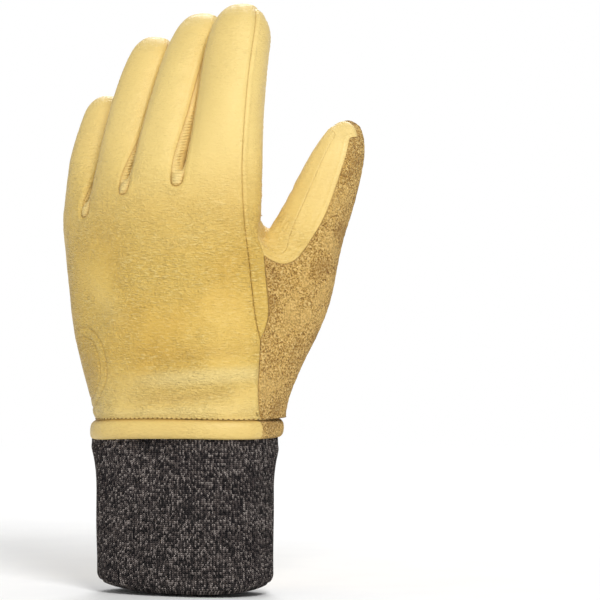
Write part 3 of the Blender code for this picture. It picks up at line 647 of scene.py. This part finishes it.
def border_points(sheets):
    """A tree of all the panels' border points, with each point's panel."""
    points = [(vert.co.copy(), node) for node, bm in sheets.items()
              for vert in bm.verts if vert.is_boundary]
    tree = kdtree.KDTree(len(points))
    for index, (place, node) in enumerate(points):
        tree.insert(place, index)
    tree.balance()
    return tree, [node for place, node in points]


def close_seams(sheets, borders):
    """Bring the borders of neighbouring panels together, where the solids keep a small gap."""
    tree, names = borders
    for node, bm in sheets.items():
        for vert in bm.verts:
            if not vert.is_boundary:
                continue
            nearest = {node: vert.co.copy()}
            for place, index, gap in sorted(tree.find_range(vert.co, SEAM_REACH), key=lambda row: row[2]):
                nearest.setdefault(names[index], place)
            vert.co = sum(nearest.values(), Vector()) / len(nearest)


def pin_corners(sheets, borders):
    """Hold sharp the corners where three panels meet, and those at the hem."""
    tree, names = borders
    lowest = min(vert.co.z for bm in sheets.values() for vert in bm.verts)
    for node, bm in sheets.items():
        pin = bm.verts.layers.float.new("crease_vert")
        for vert in bm.verts:
            if not vert.is_boundary:
                continue
            others = {names[index] for place, index, gap in tree.find_range(vert.co, SEAM_REACH)}
            corner = len(vert.link_faces) == 1 and vert.co.z < lowest + HEM_NEAR
            if len(others) > 2 or corner:
                vert[pin] = 1.0


def face_ring(vert):
    """A vertex and all that share a face with it."""
    return {other for face in vert.link_faces for other in face.verts} | {vert}


def baked(bm, name, levels):
    """The mesh of a sheet after its subdivision, which passes through the free points."""
    mesh = bpy.data.meshes.new(name)
    bm.verts.index_update()
    held_back = [any(other.is_boundary for other in face_ring(vert)) for vert in bm.verts]
    free = np.array([[0.0 if back else 1.0] for back in held_back])
    bm.to_mesh(mesh)
    bm.free()
    piece = bpy.data.objects.new(name + "_draft", mesh)
    bpy.context.scene.collection.objects.link(piece)
    finer = piece.modifiers.new("finer", "SUBSURF")
    finer.boundary_smooth = "ALL"
    finer.levels = finer.render_levels = 1
    wanted = points_of(mesh)[0]
    smooth = points_of(evaluated(piece))[0]
    held = wanted + free * (wanted - smooth[:len(wanted)])
    mesh.vertices.foreach_set("co", held.ravel())
    mesh.update()
    finer.levels = finer.render_levels = levels
    result = evaluated(piece)
    bpy.data.objects.remove(piece)
    result.name = name
    return result


def evaluated(piece):
    """A new mesh of a piece with its modifiers applied."""
    piece.data.update_tag()
    view = bpy.context.evaluated_depsgraph_get()
    view.update()
    return bpy.data.meshes.new_from_object(piece.evaluated_get(view))


def points_of(mesh):
    """The places and the normals of a mesh's vertices."""
    places = np.zeros(len(mesh.vertices) * 3)
    mesh.vertices.foreach_get("co", places)
    normals = np.zeros(len(mesh.vertices) * 3)
    mesh.vertex_normals.foreach_get("vector", normals)
    return places.reshape(-1, 3), normals.reshape(-1, 3)


def border_walk(mesh, node, borders):
    """Of each vertex: its distance from the border, its place along it and the seam's firmness."""
    bm = bmesh.new()
    bm.from_mesh(mesh)
    following = {}
    for edge in bm.edges:
        if edge.is_boundary:
            loop = edge.link_loops[0]
            following[loop.vert.index] = (loop.link_loop_next.vert.index, edge.calc_length())
    places = [vert.co.copy() for vert in bm.verts]
    bm.free()
    samples = []
    left = set(following)
    travelled = 0.0
    while left:
        vert = min(left)
        while vert in left:
            left.discard(vert)
            after, length = following[vert]
            for share in BORDER_SHARES:
                samples.append((places[vert].lerp(places[after], share), travelled + share * length))
            travelled += length
            vert = after
    tree = kdtree.KDTree(len(samples))
    for index, (place, along) in enumerate(samples):
        tree.insert(place, index)
    tree.balance()
    found = [tree.find(place) for place in places]
    distance = np.array([gap for place, index, gap in found])
    along = np.array([samples[index][1] for place, index, gap in found])
    firmness = [seam_firmness(place, node, borders) for place, walked in samples]
    firm = np.array([firmness[index] for place, index, gap in found])
    return distance, along, firm


def seam_firmness(place, node, borders):
    """How strongly the seam shows at a place of a panel's border."""
    tree, names = borders
    if place.z < hem_high.z + HEM_NEAR:
        return HEM_SEAM
    others = [(gap, names[index]) for spot, index, gap in tree.find_n(place, 6) if names[index] != node]
    if not others:
        return 1.0
    return SOFT_SEAMS.get(frozenset((node, min(others)[1])), 1.0)


def set_attribute(mesh, name, values):
    """A number for each vertex that the finish can read."""
    layer = mesh.attributes.new(name, "FLOAT", "POINT")
    layer.data.foreach_set("value", values.astype(np.float32))


def add_piece(name, mesh, finish, nodes):
    """Put a mesh into the scene as a piece that stands for CAD nodes, or for none."""
    mesh.materials.clear()
    mesh.materials.append(FINISHES[finish])
    mesh.shade_smooth()
    piece = bpy.data.objects.new(name, mesh)
    bpy.context.scene.collection.objects.link(piece)
    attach(piece, "root")
    if nodes:
        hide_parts(*nodes)
    return piece


def view_axes():
    """The camera's right, up and back directions."""
    back = Vector((math.sin(VIEW_TURN) * math.cos(VIEW_RISE), -math.cos(VIEW_TURN) * math.cos(VIEW_RISE),
                   math.sin(VIEW_RISE)))
    right = Vector((math.cos(VIEW_TURN), math.sin(VIEW_TURN), 0))
    return right, back.cross(right), back


def seen_at(mesh, pixel):
    """The point of a mesh that the camera sees at a pixel, with its normal."""
    right, up, back = view_axes()
    across = (pixel[0] - ORIGIN_PIXEL[0]) * METRES_PER_PIXEL
    above = (ORIGIN_PIXEL[1] - pixel[1]) * METRES_PER_PIXEL
    bm = bmesh.new()
    bm.from_mesh(mesh)
    found = BVHTree.FromBMesh(bm).ray_cast(right * across + up * above + back, -back)
    bm.free()
    return found[0], found[1]


def ring_radius(points, centre, facing):
    """Of each point: its distance from the ring's middle along the leather, and above it."""
    away = points - np.array(centre)
    flat = away - np.outer(away @ np.array(facing), np.array(facing))
    return np.sqrt((flat ** 2).sum(1)), away @ np.array(facing)


def press_ring(places, normals, centre, facing):
    """The plain double ring pressed into the back by the wrist: its depth and its darker middle."""
    radius, lift = ring_radius(places, centre, facing)
    depth = np.zeros(len(places))
    for ring in RING_RADII:
        depth += bell(radius - ring, RING_GROOVE) * RING_DEPTH
    near = (normals @ np.array(facing) > RING_FACING) * (np.abs(lift) < RING_LIFT)
    tint = 1 - smooth_step(radius, *(RING_RADII[1] + edge for edge in RING_MIDDLE_EDGE))
    return depth * near, tint * near


def refine_ring(mesh, centre, facing):
    """Finer faces around the pressed ring."""
    bm = bmesh.new()
    bm.from_mesh(mesh)
    chosen = set()
    outermost, innermost = RING_RADII
    for face in bm.faces:
        away = face.calc_center_median() - centre
        radius = (away - facing * away.dot(facing)).length
        beside = innermost - RING_EASE < radius < outermost + RING_EASE
        if beside and face.normal.dot(facing) > RING_FACING:
            chosen |= set(face.edges)
    bmesh.ops.subdivide_edges(bm, edges=list(chosen), cuts=2, use_grid_fill=True)
    bm.to_mesh(mesh)
    bm.free()


def gathered(node, places):
    """Short wrinkles across a narrow strip, where it is gathered at a seam or a bend."""
    lift = np.zeros(len(places))
    for panel, height, reach, depth, pitch in GATHERS:
        if panel != node:
            continue
        nearness = bell(places[:, 2] - height, reach)
        wave = np.sin(places[:, 2] * 2 * math.pi / pitch + uneven(places, GATHER_WANDER))
        broken = patches(places, 140, 7.7, 0.55)
        lift += nearness * broken * depth * (np.abs(wave) * 1.6 - 1)
    return lift


def hem_rise(places):
    """How far the hem line stands above the plain ring: up to the thumb side and over the back."""
    share = np.clip(places[:, 0] / hem_high.x, -1, 1)
    rise = HEM_TILT * (1 + share) + HEM_ARCH * (1 - share ** 2) * (places[:, 1] < 0)
    return rise * (1 - smooth_step(places[:, 2], hem_high.z, hem_high.z + HEM_EASE))


def folded(node, places):
    """The soft folds and creases of a panel."""
    lift = np.zeros(len(places))
    for panel, across, up, half_length, half_width, angle, height in FOLDS:
        if panel != node:
            continue
        turn = math.radians(angle)
        aside, above = places[:, 0] - across, places[:, 2] - up
        along = aside * math.cos(turn) + above * math.sin(turn)
        off = above * math.cos(turn) - aside * math.sin(turn)
        lift += height * np.exp(-(off / half_width) ** 2 - np.abs(along / half_length) ** 2.5)
    return lift


def shifted(places):
    """The places after the small shifts of the shape."""
    moved = places.copy()
    for centre, reach, shift in SHIFTS.values():
        near = np.exp(-((places - np.array(centre)) ** 2).sum(1) / reach ** 2)
        moved += near[:, None] * np.array(shift)
    return moved


def dress_panel(node, bm, borders):
    """One leather or suede panel: rolled into its seams, puckered, creased and given its wall."""
    levels, bordered, finish, strength = PANELS[node]
    if bordered:
        bmesh.ops.inset_region(bm, faces=bm.faces, use_boundary=True, thickness=SEAM_ROLL)
    mesh = baked(bm, node + "_shown", levels)
    if node == "back_panel":
        centre, facing = seen_at(mesh, RING_PIXEL)
        refine_ring(mesh, centre, facing)
    places, normals = points_of(mesh)
    distance, along, firm = border_walk(mesh, node, borders)
    lift_hem = hem_rise(places)
    places = shifted(places)
    places[:, 2] += lift_hem
    close = np.clip(distance / SEAM_ROLL, 0, 1)
    drop = SEAM_DEPTH * (1 - np.sqrt(1 - (1 - close) ** 2)) * firm
    puckers = np.sin(along * 2 * math.pi / PUCKER_PITCH + uneven(places, PUCKER_WANDER))
    puckers *= patches(places, 90, 8.2, 0.30)
    wrinkles = uneven(places, PANEL_WRINKLES) * strength
    away = smooth_step(distance, 0.0, SMOOTH_BORDER)
    folds = folded(node, places)
    lift = (uneven(places, PANEL_SWELL) + wrinkles + gathered(node, places) + folds) * away - drop
    lift += bell(distance, PUCKER_REACH) * puckers * PUCKER_HEIGHT * strength
    lift += LIP_HEIGHT * bell(distance - LIP_PLACE, LIP_WIDTH) * firm
    # seam: where shade is painted along the seam groove, as strong as the seam's firmness
    seam = bell(distance, SEAM_LINE) * firm
    if node.startswith("fourchette"):
        rise = places[:, 2] - places[:, 2].min()
        tucks = bell(distance - TUCK_PLACE, TUCK_WIDTH) * (1 - smooth_step(rise, *TUCKS_END))
        set_attribute(mesh, "tucks", tucks)
        # On the strips between the fingers a wider band of painted shade, for the dark crease where the
        # fingers press together
        seam = 1.5 * bell(distance, 2 * SEAM_LINE)
        full = smooth_step(distance, 0.0, STRIP_FULL_BORDER) * (1 - smooth_step(rise, *STRIP_FULL_END))
        lift += full * STRIP_FULLNESS
    if node == "thumb_suede_patch":
        lift += uneven(places, SUEDE_NAP) * away
    if node == "back_panel":
        pressed, tint = press_ring(places, normals, centre, facing)
        lift -= pressed
        seam = np.maximum(seam, np.maximum(RING_SHADE * pressed / RING_DEPTH, RING_TINT * tint))
    mesh.vertices.foreach_set("co", (places + normals * lift[:, None]).ravel())
    set_attribute(mesh, "seam", seam)
    set_attribute(mesh, "relief", folds * 1000)
    mesh.update()
    piece = add_piece(node + "_shown", mesh, finish, [node])
    wall = piece.modifiers.new("wall", "SOLIDIFY")
    wall.thickness = SHOWN_WALL
    wall.offset = -1
    wall.use_even_offset = False


def dress_panels():
    """All the leather and suede panels, sewn border to border."""
    tree = ray_tree(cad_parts[node].name for node in PANELS)
    sheets = {node: outer_sheet(node, tree) for node in PANELS}
    borders = border_points(sheets)
    close_seams(sheets, borders)
    pin_corners(sheets, borders)
    for node, bm in sheets.items():
        dress_panel(node, bm, borders)


def suede_span():
    """Angles round the wrist between which the suede patch meets the hem."""
    mesh = bpy.data.objects["thumb_suede_patch_shown"].data
    lowest = min(vert.co.z for vert in mesh.vertices)
    turns = [math.atan2(vert.co.y, vert.co.x) for vert in mesh.vertices if vert.co.z < lowest + HEM_NEAR]
    return min(turns), max(turns)


def dress_hem():
    """The puffy rolled band, with its stretch of suede below the patch."""
    bm = node_mesh("hem_band")
    pair_triangles(bm)
    first, last = suede_span()
    around = [edge for edge in bm.edges if abs(edge.verts[0].co.z - edge.verts[1].co.z) < MERGE_GAP
              and abs(math.atan2(edge.verts[0].co.y, edge.verts[0].co.x)) < HEM_FINE_TURN]
    bmesh.ops.subdivide_edges(bm, edges=around, cuts=1, use_grid_fill=True)
    mesh = baked(bm, "hem_band_shown", 3)
    places, normals = points_of(mesh)
    level = np.clip((places[:, 2] - hem_low.z) / (hem_high.z - hem_low.z), 0, 1)
    radial = places[:, :2] / np.linalg.norm(places[:, :2], axis=1)[:, None]
    outer = smooth_step((normals[:, :2] * radial).sum(1), *HEM_OUTER)
    crown = np.sqrt(np.clip(1 - (2 * level - HEM_CROWN_LEVEL) ** 2, 0, 1))
    tucked = HEM_TUCK * np.clip(level * 3 - 2, 0, 1) ** 2
    lift = (crown * (HEM_PUFF + uneven(places, HEM_SWELL)) - tucked) * outer
    moved = shifted(places)
    moved[:, :2] += radial * lift[:, None]
    moved[:, 2] += hem_rise(places)
    mesh.vertices.foreach_set("co", moved.ravel())
    # Painted shade along the hem's top, where it tucks under the panels
    set_attribute(mesh, "seam", bell(hem_high.z - places[:, 2], HEM_LINE))
    mesh.update()
    add_piece("hem_band_shown", mesh, "hem_leather", ["hem_band"])
    mesh.materials.append(FINISHES["tan_suede"])
    for face in mesh.polygons:
        if first < math.atan2(face.center.y, face.center.x) < last:
            face.material_index = 1


def knit_skin(tree, outward, height):
    """The CAD cuff's outer wall in one direction at one height, read above its lower edge."""
    start = Vector((0, 0, max(height, CUFF_READ))) + outward * RAY_START
    return tree.ray_cast(start, -outward)[0]


def dress_cuff():
    """The ribbed knit tube: down its outside, round the folded edge and up inside."""
    low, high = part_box("knit_cuff")
    tree = ray_tree([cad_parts["knit_cuff"].name])
    profile = [(1.0 - row / CUFF_ROWS, 0.0, 0.0) for row in range(CUFF_ROWS + 1)]
    profile += [(0.0, 0.5 - 0.5 * math.cos(turn), -math.sin(turn)) for turn in CUFF_FOLD_TURNS]
    profile += [(row / CUFF_INNER_ROWS, 1.0, 0.0) for row in range(CUFF_INNER_ROWS + 1)]
    columns = RIB_COUNT * RIB_SIDES
    right = view_axes()[0]
    widest = math.hypot(high.x * right.x, high.y * right.y)
    bm = bmesh.new()
    bmesh.ops.create_grid(bm, x_segments=columns, y_segments=len(profile) - 1, size=0.5)
    uv = bm.loops.layers.uv.new("knit")
    for face in bm.faces:
        for loop in face.loops:
            across = loop.vert.co.x + 0.5
            step = round((loop.vert.co.y + 0.5) * (len(profile) - 1))
            loop[uv].uv = (across * RIB_COUNT, min(step, CUFF_ROWS) / CUFF_ROWS * high.z / STITCH_HEIGHT)
    places = {}
    feet = {}
    for vert in bm.verts:
        turn = (round((vert.co.x + 0.5) * columns) % columns) * 2 * math.pi / columns
        rise, inward, below = profile[round((vert.co.y + 0.5) * (len(profile) - 1))]
        outward = Vector((math.cos(turn), math.sin(turn) * CUFF_FLATNESS, 0)).normalized()
        if turn not in feet:
            aside = abs(knit_skin(tree, outward, high.z / 2).dot(right))
            feet[turn] = low.z + CUFF_EDGE_RISE * min(aside / widest, 1.0) ** 3 + CUFF_FOLD
        foot = feet[turn]
        height = foot + rise * (high.z - CUFF_TOP_GAP - foot)
        if (turn, height) not in places:
            places[turn, height] = knit_skin(tree, outward, height)
        skin = places[turn, height]
        rib = turn / (2 * math.pi) * RIB_COUNT
        ribbed = 0.5 - 0.5 * math.cos(2 * math.pi * rib)
        relief = (ribbed - 0.5) * RIB_DEPTH
        wave = Vector((outward.x, outward.y, height)) * Vector(CUFF_WAVES)
        broad = noise.noise(wave) * CUFF_WAVE_HEIGHT
        proud = KNIT_PROUD * smooth_share((hem_low.z - height) / KNIT_PROUD_REACH)
        tuck = max(0.0, 1 - (height - foot) / CUFF_ROUNDING)
        rounding = CUFF_ROUNDED * CUFF_ROUNDING * (1 - math.sqrt(1 - tuck ** 2))
        flare = CUFF_FLARE * math.exp(-((hem_low.z - height) / CUFF_FLARE_REACH) ** 2) * abs(outward.x)
        push = (relief + broad + flare) * (1 - inward) + proud - rounding - CUFF_WALL * inward
        vert.co = Vector((skin.x, skin.y, height + below * CUFF_FOLD)) + outward * push
    sides = [vert for vert in bm.verts if vert.is_boundary]
    bmesh.ops.remove_doubles(bm, verts=sides, dist=SIDE_GAP)
    bmesh.ops.recalc_face_normals(bm, faces=bm.faces)
    mesh = bpy.data.meshes.new("knit_cuff_shown")
    bm.to_mesh(mesh)
    bm.free()
    add_piece("knit_cuff_shown", mesh, "charcoal_knit", ["knit_cuff"])


def stitch_row(name, path, pitch, length):
    """A row of thread stitches laid along a list of (place, outward) points."""
    bm = bmesh.new()
    travelled = [0.0]
    for (first, _), (second, _) in zip(path, path[1:]):
        travelled.append(travelled[-1] + (second - first).length)
    count = int(travelled[-1] / pitch)

    def at(reach):
        """The place and the outward direction at a distance along the path."""
        index = int(np.searchsorted(travelled, reach)) or 1
        index = min(index, len(path) - 1)
        share = (reach - travelled[index - 1]) / max(travelled[index] - travelled[index - 1], 1e-9)
        place = path[index - 1][0].lerp(path[index][0], share)
        return place, path[index - 1][1].lerp(path[index][1], share).normalized()

    for stitch in range(count):
        middle = (stitch + 0.5) * travelled[-1] / count
        first, outward = at(middle - length / 2)
        last, outward = at(middle + length / 2)
        made = bmesh.ops.create_uvsphere(bm, u_segments=8, v_segments=6, radius=THREAD_RADIUS)["verts"]
        stretch = Matrix.Diagonal((1, 1, length / 2 / THREAD_RADIUS, 1))
        turn = (last - first).to_track_quat("Z", "Y").to_matrix().to_4x4()
        place = Matrix.Translation((first + last) / 2 + outward * THREAD_RADIUS * THREAD_PROUD)
        bmesh.ops.transform(bm, matrix=place @ turn @ stretch, verts=made)
    mesh = bpy.data.meshes.new(name)
    bm.to_mesh(mesh)
    bm.free()
    add_piece(name, mesh, "dark_thread", [])


def sew_hem():
    """The line of stitches just above the hem, through the panels."""
    tree = ray_tree(node + "_shown" for node in PANELS)
    path = []
    for step in range(HEM_STEPS + 1):
        turn = 2 * math.pi * step / HEM_STEPS
        edge = np.array([[hem_high.x * math.cos(turn), hem_high.y * math.sin(turn), hem_high.z]])
        outward = Vector((edge[0, 0], edge[0, 1], 0)).normalized()
        height = hem_high.z + HEM_STITCH_RISE + float(hem_rise(edge)[0])
        start = Vector((0, 0, height)) + outward * RAY_START
        found, normal, index, gap = tree.ray_cast(start, -outward)
        if found and gap < RAY_LIMIT:
            path.append((found, normal))
    stitch_row("hem_stitches", path, HEM_STITCH_PITCH, HEM_STITCH_LENGTH)


def dress_tab():
    """The pull tab: a soft strap with a raised edge and a row of stitches inside it."""
    bm = node_mesh("pull_tab")
    pair_triangles(bm)
    mesh = baked(bm, "pull_tab_shown", 3)
    low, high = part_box("pull_tab")
    places, normals = points_of(mesh)
    width = (high.x - low.x) / 2
    corner = width * TAB_CORNER
    down = np.clip(low.z + corner - places[:, 2], 0, None)
    side = np.clip(np.abs(places[:, 0]) - (width - corner), 0, None)
    edge = np.where(down > 0, corner - np.sqrt(down ** 2 + side ** 2), width - np.abs(places[:, 0]))
    edge = np.clip(edge, 0, None)
    front = normals[:, 1] > TAB_FACING
    groove_width, groove_depth = TAB_GROOVE
    crown_start, crown_end, crown_height = TAB_CROWN
    groove = bell(edge - TAB_STITCH_INSET, groove_width) * groove_depth
    crown = smooth_step(edge, crown_start, crown_end) * crown_height + uneven(places, TAB_SWELL)
    lift = (crown - groove) * front
    mesh.vertices.foreach_set("co", (places + normals * lift[:, None]).ravel())
    # Painted shade in the groove of the tab's stitch row
    set_attribute(mesh, "seam", bell(edge - TAB_STITCH_INSET, TAB_SEAM_LINE) * front * 0.5)
    set_attribute(mesh, "rim", 1 - smooth_step(edge, TAB_RIM * 0.6, TAB_RIM * 1.4))
    mesh.update()
    add_piece("pull_tab_shown", mesh, "tab_leather", ["pull_tab"])
    sew_tab(width, corner, low.z, high.z)


def sew_tab(width, corner, bottom, top):
    """The row of stitches down one side of the pull tab, round its end and up the other side."""
    tree = ray_tree(["pull_tab_shown"])
    inset_radius = corner - TAB_STITCH_INSET
    steps = int((top - bottom - corner) / TAB_STEP)
    outline = [(width - TAB_STITCH_INSET, top - TAB_STEP - TAB_STEP * step) for step in range(steps)]
    for angle in np.linspace(0, math.pi / 2, 16):
        across = width - corner + inset_radius * math.cos(angle)
        outline.append((across, bottom + corner - inset_radius * math.sin(angle)))
    outline += [(-x, z) for x, z in reversed(outline)]
    path = []
    for x, z in outline:
        found, normal, index, gap = tree.ray_cast(Vector((x, RAY_START, z)), Vector((0, -1, 0)))
        if found:
            path.append((found, normal))
    stitch_row("tab_stitches", path, TAB_STITCH_PITCH, TAB_STITCH_LENGTH)


def dress_small(node, finish, levels):
    """A small piece whose solid has the right shape: finer and rounder."""
    bm = node_mesh(node)
    pair_triangles(bm)
    mesh = baked(bm, node + "_shown", levels)
    set_attribute(mesh, "seam", np.zeros(len(mesh.vertices)))
    add_piece(node + "_shown", mesh, finish, [node])


def add_lamp(name, place, size, power):
    """A round soft lamp that shines at the glove."""
    place = Vector(place)
    light = bpy.data.lights.new(name, "AREA")
    light.shape = "DISK"
    light.size = size
    light.energy = power
    lamp = bpy.data.objects.new(name, light)
    bpy.context.scene.collection.objects.link(lamp)
    turn = (Vector(LIT_POINT) - place).to_track_quat("-Z", "Y").to_matrix().to_4x4()
    lamp.matrix_world = Matrix.Translation(place) @ turn


def set_camera(scene):
    """The camera at the photograph's angle, scale and frame."""
    right, up, back = view_axes()
    half = FRAME_PIXELS / 2
    target = (right * (half - ORIGIN_PIXEL[0]) + up * (ORIGIN_PIXEL[1] - half)) * METRES_PER_PIXEL
    camera = bpy.data.cameras.new("camera")
    camera.sensor_width = SENSOR_MM
    camera.lens = SENSOR_MM * CAMERA_DISTANCE / (FRAME_PIXELS * METRES_PER_PIXEL)
    camera.clip_end = CAMERA_REACH
    viewer = bpy.data.objects.new("camera", camera)
    scene.collection.objects.link(viewer)
    turn = Matrix((right, up, back)).transposed().to_4x4()
    viewer.matrix_world = Matrix.Translation(target + back * CAMERA_DISTANCE) @ turn
    scene.camera = viewer


def lay_floor(scene):
    """A round floor of pale paper just below the glove."""
    bm = bmesh.new()
    bmesh.ops.create_circle(bm, cap_ends=True, segments=64, radius=FLOOR_RADIUS)
    bmesh.ops.translate(bm, vec=(0, 0, -FLOOR_DROP), verts=bm.verts)
    mesh = bpy.data.meshes.new("floor")
    bm.to_mesh(mesh)
    bm.free()
    mesh.materials.append(studio_paper("floor_paper"))
    floor = bpy.data.objects.new("floor", mesh)
    scene.collection.objects.link(floor)


def set_sky(scene):
    """White below the horizon and softer above it."""
    world = bpy.data.worlds.new("studio")
    scene.world = world
    world.use_nodes = True
    tree = world.node_tree
    direction = tree.nodes.new("ShaderNodeTexCoord").outputs["Generated"]
    parts = tree.nodes.new("ShaderNodeSeparateXYZ")
    tree.links.new(direction, parts.inputs[0])
    band = tree.nodes.new("ShaderNodeMapRange")
    band.interpolation_type = "SMOOTHSTEP"
    tree.links.new(parts.outputs["Z"], band.inputs[0])
    for socket, number in zip(band.inputs[1:5], (*SKY_HORIZON, 1.0, SKY_STRENGTH)):
        socket.default_value = number
    tree.links.new(band.outputs[0], tree.nodes["Background"].inputs["Strength"])
    tree.nodes["Background"].inputs["Color"].default_value = (1, 1, 1, 1)


def set_stage():
    """Pale floor, white surroundings, soft lamps and the camera."""
    scene = bpy.context.scene
    set_camera(scene)
    lay_floor(scene)
    for lamp in LAMPS:
        add_lamp(*lamp)
    set_sky(scene)
    scene.view_settings.view_transform = "Standard"


set_stage()
dress_panels()
dress_hem()
dress_cuff()
sew_hem()
dress_tab()
dress_small("clip_loop", "palm_leather", 3)
dress_small("clip", "black_plastic", 2)
